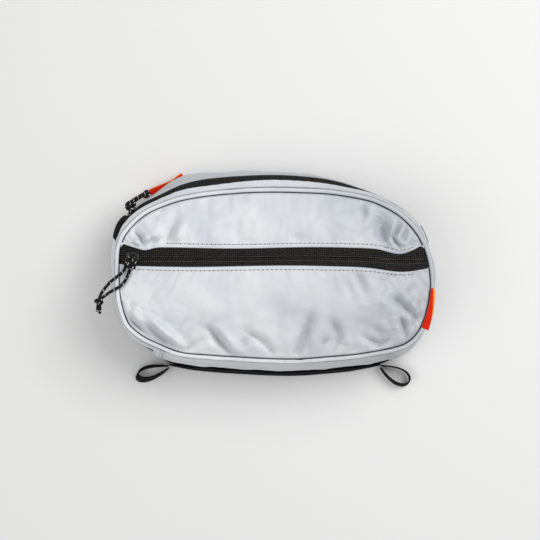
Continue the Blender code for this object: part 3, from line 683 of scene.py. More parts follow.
def silver_cloth(name, painted_shade_scale):
    """Coated silver-grey nylon: fine weave, faint patches, and painted light: a shade lighter towards the
    left and darker towards the right, standing in for how the light falls.
    """
    material, tree, shader = start_material(name, 0.5, specular=0.45)
    marks = use_group(tree, MOTTLE, Size=26.0)
    weave = use_group(tree, WEAVE, Vector=uv_of(tree), Pitch=0.00055)
    place = tree.nodes.new("ShaderNodeTexCoord")
    split = tree.nodes.new("ShaderNodeSeparateXYZ")
    tree.links.new(place.outputs["Object"], split.inputs[0])
    # Painted light: the base colour runs from lighter on the left to darker on the right along object X,
    # standing in for light and shade.
    across = math_node(tree, "MULTIPLY_ADD", split.outputs[0], 3.2, 0.5)
    painted_side_light = ((0.0, (0.800, 0.826, 0.850)), (0.45, (0.735, 0.760, 0.786)),
              (1.0, (0.480, 0.504, 0.530)))
    # The scale factor passed in darkens the whole base colour, for a copy of the cloth with painted shade.
    base = ramp(tree, across, [(spot, tuple(value * painted_shade_scale for value in shade)) for spot, shade in painted_side_light])
    patches = ramp(tree, marks.outputs["Patches"], ((0.35, (0.89, 0.905, 0.935)), (0.62, (1, 1, 1))))
    node = tree.nodes.new("ShaderNodeMix")
    node.data_type = "RGBA"
    node.blend_type = "MULTIPLY"
    node.inputs["Factor"].default_value = 1.0
    tree.links.new(base, node.inputs[6])
    tree.links.new(patches, node.inputs[7])
    # Painted shade: the cloth colour is mixed towards near-black by the valley attribute, darkening seam
    # valleys and folds where shade falls.
    painted_valley_shade = tree.nodes.new("ShaderNodeAttribute")
    painted_valley_shade.attribute_name = "painted_valley_shade"
    valley_shaded_color = mix(tree, painted_valley_shade.outputs["Fac"], node.outputs[2], (0.085, 0.088, 0.098))
    tree.links.new(valley_shaded_color, shader.inputs["Base Color"])
    rough = math_node(tree, "MULTIPLY_ADD", marks.outputs["Patches"], 0.16, 0.36)
    tree.links.new(rough, shader.inputs["Roughness"])
    shader.inputs["Sheen Weight"].default_value = 0.12
    shader.inputs["Sheen Roughness"].default_value = 0.4
    height = math_node(tree, "MULTIPLY_ADD", marks.outputs["Specks"], 0.8, weave.outputs[0])
    add_bump(tree, shader, height, 0.00005, 0.7)
    return material


def black_weave(name, pitch, dark, light, roughness, depth):
    """Black woven tape, with paler specks painted on its thread crowns: painted highlights that the crowns
    catch.
    """
    material, tree, shader = start_material(name, roughness, specular=0.12)
    marks = use_group(tree, MOTTLE, Size=60.0)
    weave = use_group(tree, WEAVE, Vector=uv_of(tree), Pitch=pitch)
    # Painted highlight: the thread crowns, where the speck noise allows, are coloured paler.
    crown = math_node(tree, "MULTIPLY", weave.outputs[0], marks.outputs["Specks"])
    color = ramp(tree, crown, ((0.25, dark), (0.62, light)))
    tree.links.new(color, shader.inputs["Base Color"])
    add_bump(tree, shader, weave.outputs[0], depth)
    return material


def cord_braid():
    """Black braided cord with pale tracer threads winding round it."""
    material, tree, shader = start_material("pull_cord_braid", 0.75, specular=0.2)
    split = tree.nodes.new("ShaderNodeSeparateXYZ")
    tree.links.new(uv_of(tree), split.inputs[0])
    around = math_node(tree, "MULTIPLY", split.outputs[0], 100.0)
    along = math_node(tree, "MULTIPLY", split.outputs[1], 1000.0)
    twist = math_node(tree, "MULTIPLY_ADD", along, 0.21, around)
    back = math_node(tree, "MULTIPLY_ADD", along, -0.21, around)
    strand = math_node(tree, "MULTIPLY", math_node(tree, "SINE", math_node(tree, "MULTIPLY", twist, 25.1)),
                       math_node(tree, "SINE", math_node(tree, "MULTIPLY", back, 25.1)))
    tracer = math_node(tree, "LESS_THAN", math_node(tree, "FRACT", twist), 0.13)
    beat = math_node(tree, "SINE", math_node(tree, "MULTIPLY", along, 2.1))
    gate = math_node(tree, "GREATER_THAN", beat, 0.15)
    fleck = math_node(tree, "MULTIPLY", tracer, gate)
    body = ramp(tree, math_node(tree, "MULTIPLY_ADD", strand, 0.5, 0.5),
                ((0.2, (0.003, 0.003, 0.003)), (0.9, (0.014, 0.013, 0.013))))
    color = mix(tree, fleck, body, (0.74, 0.74, 0.72))
    tree.links.new(color, shader.inputs["Base Color"])
    add_bump(tree, shader, strand, 0.00012)
    return material


def label_cloth():
    """Plain woven label, red with an orange band along its outer edge."""
    material, tree, shader = start_material("two_colour_label", 0.8, specular=0.12)
    band = tree.nodes.new("ShaderNodeAttribute")
    band.attribute_name = "band"
    marks = use_group(tree, MOTTLE, Size=120.0)
    red = ramp(tree, marks.outputs["Patches"], ((0.3, (0.62, 0.014, 0.003)), (0.7, (0.74, 0.024, 0.004))))
    tree.links.new(mix(tree, band.outputs["Fac"], red, (0.95, 0.30, 0.012)),
                   shader.inputs["Base Color"])
    weave = use_group(tree, WEAVE, Vector=uv_of(tree), Pitch=0.0004)
    add_bump(tree, shader, weave.outputs[0], 0.00006)
    return material


def enamel():
    """Black enamelled zinc with rubbed, paler patches."""
    material, tree, shader = start_material("slider_enamel", 0.32, specular=0.5)
    marks = use_group(tree, MOTTLE, Size=240.0)
    color = ramp(tree, marks.outputs["Patches"], ((0.45, (0.010, 0.010, 0.011)),
                                                   (0.75, (0.040, 0.038, 0.036))))
    tree.links.new(color, shader.inputs["Base Color"])
    rough = math_node(tree, "MULTIPLY_ADD", marks.outputs["Patches"], 0.35, 0.18)
    tree.links.new(rough, shader.inputs["Roughness"])
    add_bump(tree, shader, marks.outputs["Specks"], 0.00004)
    return material


def spacer_mesh():
    """Black spacer mesh: round eyelets in a staggered grid."""
    material, tree, shader = start_material("back_spacer_mesh", 0.85, specular=0.25)
    cells = tree.nodes.new("ShaderNodeTexVoronoi")
    cells.inputs["Scale"].default_value = 520.0
    cells.inputs["Randomness"].default_value = 0.15
    place = tree.nodes.new("ShaderNodeTexCoord")
    tree.links.new(place.outputs["Object"], cells.inputs["Vector"])
    color = ramp(tree, cells.outputs["Distance"], ((0.25, (0.002, 0.002, 0.002)),
                                                   (0.5, (0.035, 0.035, 0.036))))
    tree.links.new(color, shader.inputs["Base Color"])
    add_bump(tree, shader, cells.outputs["Distance"], 0.0006)
    return material


def plain_thread(name, color, roughness=0.6):
    material, tree, shader = start_material(name, roughness, specular=0.3)
    marks = use_group(tree, MOTTLE, Size=400.0)
    low = tuple(value * 0.75 for value in color)
    tree.links.new(ramp(tree, marks.outputs["Patches"], ((0.3, low), (0.7, color))),
                   shader.inputs["Base Color"])
    add_bump(tree, shader, marks.outputs["Specks"], 0.00003)
    return material


SILVER = silver_cloth("silver_nylon", 1.0)
# The rear strip's copy of the silver nylon, painted 30 % darker: painted shade on the gusset's rear strip.
SHADED_REAR_SILVER = silver_cloth("silver_nylon_rear_painted_shade", 0.70)
TAPE = black_weave("zip_tape_weave", 0.0018, (0.0012, 0.0012, 0.0013), (0.062, 0.056, 0.054), 0.95, 0.0003)
WEBBING = black_weave("lash_tape_weave", 0.0009, (0.003, 0.003, 0.003), (0.018, 0.017, 0.017), 0.8, 0.00018)
BRAID = cord_braid()
LABEL = label_cloth()
ENAMEL = enamel()
MESH = spacer_mesh()
THREAD = plain_thread("grey_thread", (0.55, 0.57, 0.60))
NEEDLE_HOLE_SHADE = plain_thread("needle_hole_shadow", (0.10, 0.105, 0.115), 0.9)
CHAIN = plain_thread("zip_chain_thread", (0.130, 0.118, 0.110))
COIL = plain_thread("zip_coil_nylon", (0.022, 0.021, 0.021), 0.4)


def done(obj, material, body, replaces=()):
    obj.data.materials.clear()
    obj.data.materials.append(material)
    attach(obj, body)
    for node in replaces:
        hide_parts(node)
    return obj


# ---------------------------------------------------------------- camera, floor and light

def make_stage():
    camera = bpy.data.cameras.new("camera")
    camera.lens = 86.05
    camera.clip_end = 20
    eye = bpy.data.objects.new("camera", camera)
    eye.location = (-0.0044, 0.0023, 1.2)
    bpy.context.scene.collection.objects.link(eye)
    bpy.context.scene.camera = eye
    bpy.ops.object.select_all(action="DESELECT")
    bpy.ops.mesh.primitive_plane_add(size=6, location=(0, 0, -0.0004))
    floor = bpy.context.object
    floor.name = "floor"
    material, tree, shader = start_material("pale_floor", 0.9, specular=0.1)
    marks = use_group(tree, MOTTLE, Size=1.3)
    tree.links.new(ramp(tree, marks.outputs["Patches"], ((0.2, (0.83, 0.827, 0.823)),
                                                         (0.8, (0.85, 0.848, 0.845)))),
                   shader.inputs["Base Color"])
    floor.data.materials.append(material)
    world = bpy.data.worlds.new("studio")
    bpy.context.scene.world = world
    world.use_nodes = True
    world.node_tree.nodes["Background"].inputs["Color"].default_value = (1.0, 0.998, 0.995, 1)
    world.node_tree.nodes["Background"].inputs["Strength"].default_value = 0.39
    for name, spot, size, power in (("key_light", (0.90, 0.66, 1.38), 1.1, 20.0),
                                    ("fill_light", (-1.1, -0.5, 1.7), 1.6, 11.0)):
        lamp = bpy.data.lights.new(name, "AREA")
        lamp.size = size
        lamp.energy = power
        light = bpy.data.objects.new(name, lamp)
        light.location = spot
        light.rotation_euler = Vector(spot).to_track_quat("Z", "Y").to_euler()
        bpy.context.scene.collection.objects.link(light)
    bpy.context.scene.view_settings.view_transform = "Standard"


# ---------------------------------------------------------------- cords

FRONT_LOWER_LEG = (
    (-0.1532, -0.0238, 0.0687), (-0.1500, -0.0210, 0.0692), (-0.1435, -0.0165, 0.0707),
    (-0.1345, -0.0112, 0.0715), (-0.1296, -0.0042, 0.0713), (-0.1272, 0.0026, 0.0712),
    (-0.1264, 0.0080, 0.0716),
)
FRONT_UPPER_LEG = (
    (-0.1540, -0.0226, 0.0687), (-0.1524, -0.0188, 0.0694), (-0.1485, -0.0132, 0.0708),
    (-0.1420, -0.0064, 0.0720), (-0.1350, -0.0014, 0.0733), (-0.1312, 0.0030, 0.0748),
    (-0.1298, 0.0084, 0.0758),
)
FRONT_KNOT = (-0.1544, -0.0256, 0.0683)
FRONT_TAILS = (
    ((-0.1540, -0.0270, 0.0679), (-0.1536, -0.0310, 0.0674), (-0.1538, -0.0356, 0.0664)),
    ((-0.1548, -0.0270, 0.0681), (-0.1556, -0.0300, 0.0676), (-0.1558, -0.0338, 0.0669)),
)
TOP_INNER_LEG = (
    (-0.1163, 0.0709, 0.0290), (-0.1175, 0.0700, 0.0345), (-0.1209, 0.0676, 0.0402),
    (-0.1258, 0.0637, 0.0440), (-0.1288, 0.0600, 0.0458), (-0.1283, 0.0573, 0.0474),
)
TOP_OUTER_LEG = (
    (-0.1166, 0.0716, 0.0300), (-0.1180, 0.0710, 0.0380), (-0.1212, 0.0686, 0.0440),
    (-0.1262, 0.0650, 0.0478), (-0.1294, 0.0619, 0.0500), (-0.1298, 0.0600, 0.0512),
)
TOP_KNOT = (-0.1164, 0.0712, 0.0250)
TOP_TAILS = (
    ((-0.1160, 0.0709, 0.0238), (-0.1158, 0.0708, 0.0208), (-0.1156, 0.0706, 0.0158)),
    ((-0.1168, 0.0715, 0.0242), (-0.1173, 0.0722, 0.0212), (-0.1180, 0.0730, 0.0162)),
)
WRAP = 0.00225


def knot_path(centre, axis, size):
    """An overhand knot pulled snug, as a closed three-lobed line round an axis."""
    turn = Vector(axis).to_track_quat("Z", "Y").to_matrix()
    path = []
    for k in range(96):
        t = k / 96 * math.tau
        spot = Vector((math.sin(t) + 2 * math.sin(2 * t), math.cos(t) - 2 * math.cos(2 * t),
                       -1.55 * math.sin(3 * t)))
        path.append(Vector(centre) + turn @ (spot * size / 3))
    return np.array([tuple(point) for point in path])


def join(name, pieces):
    bpy.ops.object.select_all(action="DESELECT")
    for piece in pieces:
        piece.select_set(True)
    bpy.context.view_layer.objects.active = pieces[0]
    bpy.ops.object.join()
    pieces[0].name = name
    return pieces[0]


def make_pull(name, joint, lower, upper, knot, knot_axis, tails, body, back):
    """Cord loop hitched round the slider's bridge, tied off with an overhand knot."""
    bar = Vector(JOINTS[joint]["pos_m"])
    run = Vector(JOINTS[joint]["axis"]).normalized()
    back = Vector(back)
    outward = (run.cross(back) if run.cross(back).z > 0 else back.cross(run)).normalized()
    back = (outward.cross(run)).normalized() * (1 if outward.cross(run).dot(back) > 0 else -1)
    wrap = []
    for k in range(1, 6):
        angle = math.pi * k / 6
        wrap.append(tuple(bar - outward * WRAP * math.cos(angle) - back * WRAP * math.sin(angle)))
    first = smooth_line(list(lower) + wrap, 0.0004)
    second = smooth_line([wrap[-1]] + list(upper[::-1]), 0.0004)
    legs = []
    for label, line in (("a", first), ("b", second)):
        leg = tube(f"{name}_leg_{label}", line, CORD / 2, sides=18, braid=0.05)
        legs.append((done(leg, BRAID, body), line))
    knot_pieces = [tube(name + "_knot", knot_path(knot, knot_axis, KNOT_SIZE), CORD / 2, sides=14,
                        braid=0.05, closed=True)]
    for tail in tails:
        knot_pieces.append(tube(name + "_tail", smooth_line(tail, 0.0004), CORD / 2 * 0.96,
                                sides=14, braid=0.06))
    knot_piece = done(join(name + "_overhand_knot", knot_pieces), BRAID, body,
                      [name + "_knot"])
    bight = []
    for k in range(13):
        angle = math.pi * (k / 12 * 1.36 - 0.18)
        side = run * 0.0031 * math.cos(angle)
        bight.append(tuple(bar + back * 0.0031 + side - outward * 0.0002
                           + outward * 0.0036 * math.sin(angle)))
    collar = []
    for k in range(46):
        turn, share = math.tau * 2.45 * k / 45, k / 45
        collar.append(tuple(bar + back * (0.0030 + 0.0058 * share) + run * 0.0038 * math.cos(turn)
                            + outward * (0.0004 + 0.0027 * math.sin(turn))))
    hitch = done(join(name + "_hitch", [
        tube(name + "_hitch_" + label, smooth_line(line, 0.0004), CORD / 2, sides=16, braid=0.05)
        for label, line in (("bight", bight), ("collar", collar))]), BRAID, body)
    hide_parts(name + "_cord")
    for (leg, line), pieces in zip(legs, ([knot_piece, hitch], [])):
        if leg is legs[1][0]:
            line = line[::-1]


# ---------------------------------------------------------------- front

def zip_wave(x):
    """How far the front zip wanders off its straight line."""
    return (-0.0022 * bump(x, 0.113, 0.022) + 0.0016 * bump(x, -0.134, 0.010)
            - 0.0006 * bump(x, -0.112, 0.012) + 0.0005 * np.sin(x * 38 + 0.6))


def fold_line(x, upper):
    if upper:
        return (ZIP_Y + ZIP_WINDOW / 2 + 0.0002 + 0.0056 * bump(x, -0.140, 0.0110)
                - 0.0024 * bump(x, -0.114, 0.0075) - 0.0046 * bump(x, 0.1085, 0.0140)
                + 0.0030 * bump(x, 0.1310, 0.0090) + 0.0006 * np.sin(x * 45))
    return (ZIP_Y - ZIP_WINDOW / 2 + 0.0004 + 0.0016 * bump(x, -0.138, 0.012)
            - 0.0044 * bump(x, 0.1120, 0.0240) + 0.0006 * np.sin(x * 38 + 1.2))


def front_arc(x, lift=0.0):
    return FRONT_ARC_Z + np.sqrt(FRONT_ARC ** 2 - x ** 2) + lift


def front_grid(upper, u, v):
    """Points of one front piece at even shares along it (u) and from the zip to the seam (v)."""
    rough_fold = ZIP_Y + ZIP_WINDOW / 2 * (1 if upper else -1)
    corner = SEAM.places[int(np.argmin(np.abs(SEAM.y - rough_fold)))]
    place = u * corner if upper else np.where(u >= 0, 1 - u * (1 - corner), -1 - u * (1 - corner))
    edge = seam_point(place, -0.0002, DEPTH)
    fold_x = np.where(u >= 0, u * edge[-1, 0], -u * edge[0, 0])
    fold = np.stack([fold_x, fold_line(fold_x, upper), front_arc(fold_x)], -1)
    share = v[None, :, None]
    points = fold[:, None] * (1 - share) + edge[:, None] * share
    points[..., 2] = fold[:, 2, None] * (1 - v[None] ** 2) + edge[:, 2, None] * v[None] ** 2
    return points, fold, edge, place


def front_cloth(upper):
    """One front fabric piece, with its folds, its turned edge at the zip and its sewn edge."""
    coarse_u, coarse_v = np.linspace(-1, 1, 91), np.linspace(0, 1, 21 if upper else 27)
    coarse = front_grid(upper, coarse_u, coarse_v)[0]
    pinned = np.zeros(coarse.shape[:2], bool)
    pinned[:, [0, 1, -1]] = True
    pinned[[0, -1]] = True
    moved = settle(coarse, pinned, 0.016, 0.5, 0.0022, flip=not upper)
    u = np.sin(np.linspace(-1, 1, 210) * math.pi / 2 * 0.93) / math.sin(math.pi / 2 * 0.93)
    v = np.concatenate([np.linspace(0, 0.08, 8)[:-1], np.linspace(0.08, 1, 64)]) if upper else (
        np.concatenate([np.linspace(0, 0.05, 8)[:-1], np.linspace(0.05, 1, 84)]))
    points, fold, edge, place = front_grid(upper, u, v)
    points += spread(moved, coarse_u, coarse_v, u, v)
    x, y = points[..., 0], points[..., 1]
    from_fold = np.linalg.norm(points[..., :2] - fold[:, None, :2], axis=-1)
    from_seam = np.linalg.norm(points[..., :2] - edge[:, None, :2], axis=-1)
    room = np.clip(from_fold / 0.006, 0, 1) * np.clip(from_seam / 0.005, 0, 1)
    around = np.broadcast_to((place * SEAM.length)[:, None], x.shape)
    lift = CREASE_STRENGTH * crease_lift(x, y) * (0.35 + 0.65 * np.clip(from_seam / 0.005, 0, 1)) \
        * (0.3 + 0.7 * np.clip((from_fold - 0.003) / 0.006, 0, 1))
    crumpled = (0.10 + 0.9 * bump(x, 0.118, 0.034) * bump(y, -0.030, 0.055)
                + 0.8 * bump(x, 0.108, 0.024) * bump(y, 0.038, 0.030)
                + 0.6 * bump(x, -0.110, 0.035) * bump(y, -0.050, 0.030)
                + 0.5 * bump(x, -0.110, 0.022) * bump(y, 0.038, 0.022)
                + 0.45 * bump(y, -0.062, 0.018))
    steep = 0.0075 * bump(x, -0.114, 0.028) * bump(y, -0.052, 0.024) \
        + 0.0045 * bump(x, 0.116, 0.026) * bump(y, -0.050, 0.030) \
        + 0.0022 * bump(x, -0.030, 0.045) * bump(y, -0.072, 0.022)
    lift += steep * (1 - np.exp(-(from_seam / 0.0075) ** 2))
    lift += room * crumpled * (0.0030 * crumple(x, y, 0.017, 7) + 0.0016 * crumple(x, y, 0.010, 8))
    lift += room * (0.0011 * crumple(x, y, 0.033, 9) + 0.0004 * ripple(x, y, 0.040, 3))
    pucker = ripple(around, from_seam * 0.25, 0.0085, 11)
    lift += 0.00042 * pucker * np.exp(-from_seam / 0.0050) * np.clip(from_seam / 0.0012, 0, 1)
    stitched = ripple(x, from_fold * 0.3, 0.0078, 17)
    lift += 0.00018 * stitched * np.exp(-((from_fold - 0.0040) / 0.0028) ** 2)
    lift -= 0.00014 * np.exp(-((from_fold - 0.0036) / 0.0006) ** 2)
    lift -= 0.0006 * np.clip(1 - from_fold / 0.0007, 0, 1) ** 2
    lift -= 0.0009 * np.clip(1 - from_seam / 0.0024, 0, 1) ** 2
    points[..., 2] += lift
    around_it = soften(lift, 4)
    name = "front_cloth_upper" if upper else "front_cloth_lower"
    # Painted shade: a dark line along the sewn edge, and darkening in the hollows of the folds where the
    # surface lies below its softened neighbours.
    valley_shade = 0.20 * np.exp(-(from_seam / 0.0007) ** 2) + 0.30 * room * np.clip(
        (around_it - lift) / 0.0009, 0, 1)
    obj = cloth(name, points, flip=not upper, valley_shade=valley_shade)
    done(obj, SILVER, "bag",
         ["front_panel_upper" if upper else "front_panel_lower"])
    return points, from_fold


def make_front():
    for upper in (True, False):
        points, from_fold = front_cloth(upper)
        normal = normals_of(points) * (1 if upper else -1)
        line, up = [], []
        for column, away, facing in zip(points, from_fold, normal):
            if away[-1] > 0.010 and -0.0935 - 0.031 * (not upper) < column[0][0] < 0.122:
                share = np.interp(0.0036, away, np.arange(len(away)))
                k = int(share)
                line.append(column[k] * (1 - share + k) + column[k + 1] * (share - k))
                up.append(facing[k])
        line, up = np.array(line), np.array(up)
        label = "upper" if upper else "lower"
        done(stitches("front_stitches_" + label, line, up), THREAD, "bag")
        done(needle_holes("front_needle_holes_" + label, line + up * 0.00022, up), NEEDLE_HOLE_SHADE, "bag")


def tape_profile(u):
    """Height of the zip tape across its width: flat, with a soft rib over the coil."""
    away = np.abs(u)
    return (-0.0010 + 0.00055 * np.exp(-((away - 0.0016) / 0.0011) ** 2)
            - 0.0004 * np.exp(-(away / 0.00035) ** 2))


def zip_half(name, frame_of, run, sign, body, node):
    """One woven tape half: frame_of(run, across, lift) gives its points."""
    across = np.array([0.0003, 0.0006, 0.0010, 0.0015, 0.0020, 0.0025, 0.0030, 0.0038, 0.0050,
                       0.0065, 0.0080, 0.0095, 0.0104]) * sign
    coil = np.cos(run[:, None] / 0.00065 * math.pi) * np.exp(-((np.abs(across) - 0.0014) / 0.0008) ** 2)
    lift = tape_profile(across)[None] + 0.00013 * coil + np.zeros((len(run), 1))
    points = frame_of(run, across, lift)
    uv = np.stack(np.broadcast_arrays(run[:, None], across[None]), -1)
    if sign < 0:
        points, uv = points[:, ::-1], uv[:, ::-1]
    obj = cloth(name, points, 0.0006, uv=uv, flip=node.startswith("top"))
    done(obj, TAPE, body, [node])


def make_front_zip():
    end = 0.1345
    run = np.arange(-end - 0.0012, end, TOOTH_STEP)

    def frame_of(run, across, lift):
        x = np.broadcast_to(run[:, None], lift.shape)
        y = ZIP_Y + zip_wave(x) + across[None]
        return np.stack([x, y, front_arc(x, lift)], -1)

    for label, sign in (("upper", 1), ("lower", -1)):
        zip_half("front_zip_woven_" + label, frame_of, run, sign, "bag",
                 "front_zip_tape_" + label)
        rib = np.full((1,), (0.0007 if sign > 0 else 0.0032) * sign)
        line = frame_of(run, rib, np.full((len(run), 1), -0.00052))[:, 0]
        up = np.tile((0.0, 0.0, 1.0), (len(line), 1))
        done(stitches("front_zip_chain_thread_" + label, line, up, 0.0019, 0.00026), CHAIN, "bag")


BINDING_JOIN_PLACE = 0.976


def make_front_binding():
    """The self-fabric binding round the front seam, a little uneven along its length."""
    places = np.linspace(-1, 1, 720, endpoint=False)
    travelled = places * SEAM.length
    turn = np.arange(19) / 18 * math.tau
    rings, flank_shade = [], []
    wobble = ripple(travelled, 0 * travelled, 0.021, 21)
    fine = ripple(travelled, 0 * travelled, 0.0065, 23)
    dip = 0.0008 * bump(places, 0.938, 0.009)
    for angle in turn:
        side = math.copysign(abs(math.cos(angle)) ** 0.85, math.cos(angle))
        top = math.copysign(abs(math.sin(angle)) ** 0.8, math.sin(angle))
        wide = 0.00185 * (1 + 0.07 * wobble)
        offset = BINDING + wide * side + 0.0002 * wobble + dip * 0.6
        z = DEPTH + 0.0003 + 0.0019 * top + 0.00016 * fine * max(top, 0) - dip * 0.4
        rings.append(seam_point(places, offset, z))
        # Painted shade on the binding's flanks: strong on the outer flank beside the gusset, faint on the
        # inner flank beside the front panel.
        flank_shade.append(np.full(len(places), np.clip(side * 3.6 - 2.5, 0, 0.9)
                              + np.clip(-side * 3.2 - 2.9, 0, 0.2)))
    points, flank_shade = np.stack(rings, 1)[:, ::-1], np.stack(flank_shade, 1)[:, ::-1]
    obj = grid_mesh("front_seam_binding", points, metric_uv(points), closed=True)
    paint_valley_shade(obj, flank_shade)
    weld(obj)
    done(obj, SILVER, "bag", ["front_binding"])
    ring = [seam_point(BINDING_JOIN_PLACE, BINDING + 0.00200 * math.cos(angle),
                       DEPTH + 0.0004 + 0.0020 * math.sin(angle))
            for angle in np.linspace(-0.25, math.pi + 0.25, 15)]
    done(tube("binding_join", ring, 0.00022, sides=6), THREAD, "bag")


# ---------------------------------------------------------------- gusset

def wall_cloth(name, start, stop, low, high, nodes, seed, strength=1.0, rows=34,
               material=SILVER):
    """A gusset piece with slack cloth waves, turned in at its sewn or folded long edges."""
    count = max(12, int(abs(stop - start) * SEAM.length / 0.0016))
    places = np.linspace(start, stop, count)
    heights = np.linspace(low, high, rows)
    points = wall(places, heights)
    normal = normals_of(points)
    run = (places * SEAM.length)[:, None]
    down = metric_uv(points)[..., 1]
    total = down.max()
    lift = strength * (0.0009 * ripple(run, down, 0.040, seed)
                       + 0.0004 * ripple(run, down * 0.6, 0.014, seed + 1))
    room = np.clip(down / 0.006, 0, 1) * np.clip((total - down) / 0.006, 0, 1)
    pucker = ripple(run, down * 0.3, 0.008, seed + 2)
    near_edge = np.exp(-down / 0.005) + np.exp(-(total - down) / 0.005)
    clear = np.clip(np.minimum(down, total - down) / 0.0012, 0, 1)
    lift = lift * room + 0.0003 * pucker * near_edge * clear
    for away in (down, total - down):
        lift -= 0.0007 * np.clip(1 - away / 0.0010, 0, 1) ** 2
    lift += strength * room * (0.0012 * crumple(run - 0.1, down, 0.022, seed + 3)
                               + 0.0005 * crumple(run - 0.1, down, 0.012, seed + 4))
    points = points + normal * lift[..., None]
    # Painted shade: a dark line along the edges sewn to the front and back seams, where shade falls between
    # the gusset and the bindings.
    valley_shade = 0.0 * down
    for level, away in zip((low, high), (down, total - down)):
        if level in (0, 4):
            valley_shade = valley_shade + 0.9 * np.exp(-(away / 0.0010) ** 2)
    obj = cloth(name, points, valley_shade=valley_shade)
    done(obj, material, "bag", nodes)


FRONT_RING = RINGS[0]
END_PLACE = FRONT_RING.places[int(np.argmax(FRONT_RING.y < 0.043))]
TAB_PLACE = END_PLACE + 0.015 / SEAM.length
CROSS_PLACE = SEAM.places[int(np.argmax((SEAM.y < 0) & (SEAM.x < 0.098)))]


def make_gusset():
    wall_cloth("gusset_cloth_front", -TAB_PLACE, TAB_PLACE, 0, 1, ["gusset_front_strip"], 31,
               0.35, rows=16)
    # The rear strip is painted darker, as painted shade, through its darker copy of the silver nylon.
    wall_cloth("gusset_cloth_rear", -TAB_PLACE, TAB_PLACE, 2, 4, ["gusset_rear_strip"], 37,
               0.55, rows=30, material=SHADED_REAR_SILVER)
    wall_cloth("gusset_cloth_right", TAB_PLACE, CROSS_PLACE, 0, 4, ["gusset_side_right"], 41)
    wall_cloth("gusset_cloth_left", -CROSS_PLACE, -TAB_PLACE, 0, 4, ["gusset_side_left"], 47)
    wall_cloth("gusset_cloth_bottom", CROSS_PLACE, 2 - CROSS_PLACE, 0, 4, ["gusset_bottom_panel"], 53)
    for label, place in (("right", CROSS_PLACE), ("left", -CROSS_PLACE)):
        make_cross_seam(label, place)


def make_cross_seam(label, place):
    """The welt where two gusset pieces meet, with its two rows of stitches."""
    heights = np.linspace(0.02, 3.98, 60)
    side = 0.0042 / SEAM.length
    places = np.linspace(place - side, place + side, 9)
    points = wall(places, heights)
    normal = normals_of(points)
    across = np.linspace(-1, 1, 9)[:, None, None]
    points = points + normal * 0.0008 * (1 - across ** 4)
    obj = cloth("cross_seam_welt_" + label, points, 0.0006)
    done(obj, SILVER, "bag")
    for number, column in ((1, 2), (2, 6)):
        line, up = points[column] + normal[column] * 0.0001, normal[column]
        done(stitches(f"cross_seam_stitches_{label}_{number}", line, up, 0.0030), THREAD, "bag")


def make_top_zip():
    end = (END_PLACE - 0.0006) * FRONT_RING.length
    run = np.arange(-end, end, TOOTH_STEP)

    def frame_of(run, across, lift):
        places = run / FRONT_RING.length
        edges = wall(places, (1.0, 2.0))
        middle = edges.mean(1)
        over = edges[:, 1] - edges[:, 0]
        width = np.linalg.norm(over, axis=1, keepdims=True)
        over = over / width
        ahead = np.gradient(middle, axis=0)
        normal = np.cross(ahead, over)
        normal /= np.linalg.norm(normal, axis=1, keepdims=True)
        inside = np.clip(across, -0.0086, 0.0086)
        return (middle[:, None] + over[:, None] * inside[None, :, None]
                + normal[:, None] * (lift - np.clip(np.abs(across) - 0.0076, 0, 1) * 1.2)[..., None])

    for label, sign in (("front", -1), ("rear", 1)):
        zip_half("top_zip_woven_" + label, frame_of, run, sign, "bag", "top_zip_tape_" + label)
        line = frame_of(run, np.array([0.0010 * sign]), np.full((len(run), 1), -0.0026))[::4, 0]
        done(tube("top_zip_spiral_" + label, line, 0.0010, sides=10, braid=0.12), COIL, "bag",
             ["top_zip_coil_" + label])


def make_bindings_behind():
    places = np.linspace(-1, 1, 560, endpoint=False)
    travelled = places * RINGS[3].length
    wobble = ripple(travelled, 0 * travelled, 0.019, 61)
    rings = []
    for angle in np.arange(15) / 14 * math.tau:
        round_side = math.copysign(abs(math.cos(angle)) ** 0.8, math.cos(angle))
        offset = (follow(places, 4) + lean(places, 4) - 0.0012 * bump(np.abs(places), 0.42, 0.22)
                  + 0.0023 * (1 + 0.04 * wobble) * round_side)
        x, y = RINGS[3].at(places, offset)
        z = 0.0055 + 0.0025 * math.copysign(abs(math.sin(angle)) ** 0.8, math.sin(angle))
        rings.append(np.stack([x, y, np.full_like(x, z)], -1))
    points = np.stack(rings, 1)[:, ::-1]
    obj = grid_mesh("back_seam_binding", points, metric_uv(points), closed=True)
    weld(obj)
    done(obj, WEBBING, "bag", ["back_binding"])


def end_tab(side, stick_out, reach):
    """Folded webbing that closes one end of the main zip, standing out a little as a D."""
    places = np.linspace(END_PLACE - 0.003 - reach, TAB_PLACE + 0.001, 26) * side
    if side < 0:
        places = places[::-1]
    points = wall(places, np.linspace(1.0, 2.06, 15))
    normal = normals_of(points)
    along = np.abs(np.linspace(-1, 1, 26))[:, None]
    across = np.abs(np.linspace(-1, 1, 15))[None]
    rise = 0.0006 + stick_out * np.sqrt(np.clip(1 - along ** 2, 0, 1)) * (1 - 0.75 * across ** 2)
    points = points + normal * rise[..., None]
    label = "left" if side < 0 else "right"
    obj = cloth("zip_end_webbing_" + label, points, 0.0014)
    done(obj, WEBBING, "bag", ["zip_end_tab_" + label])


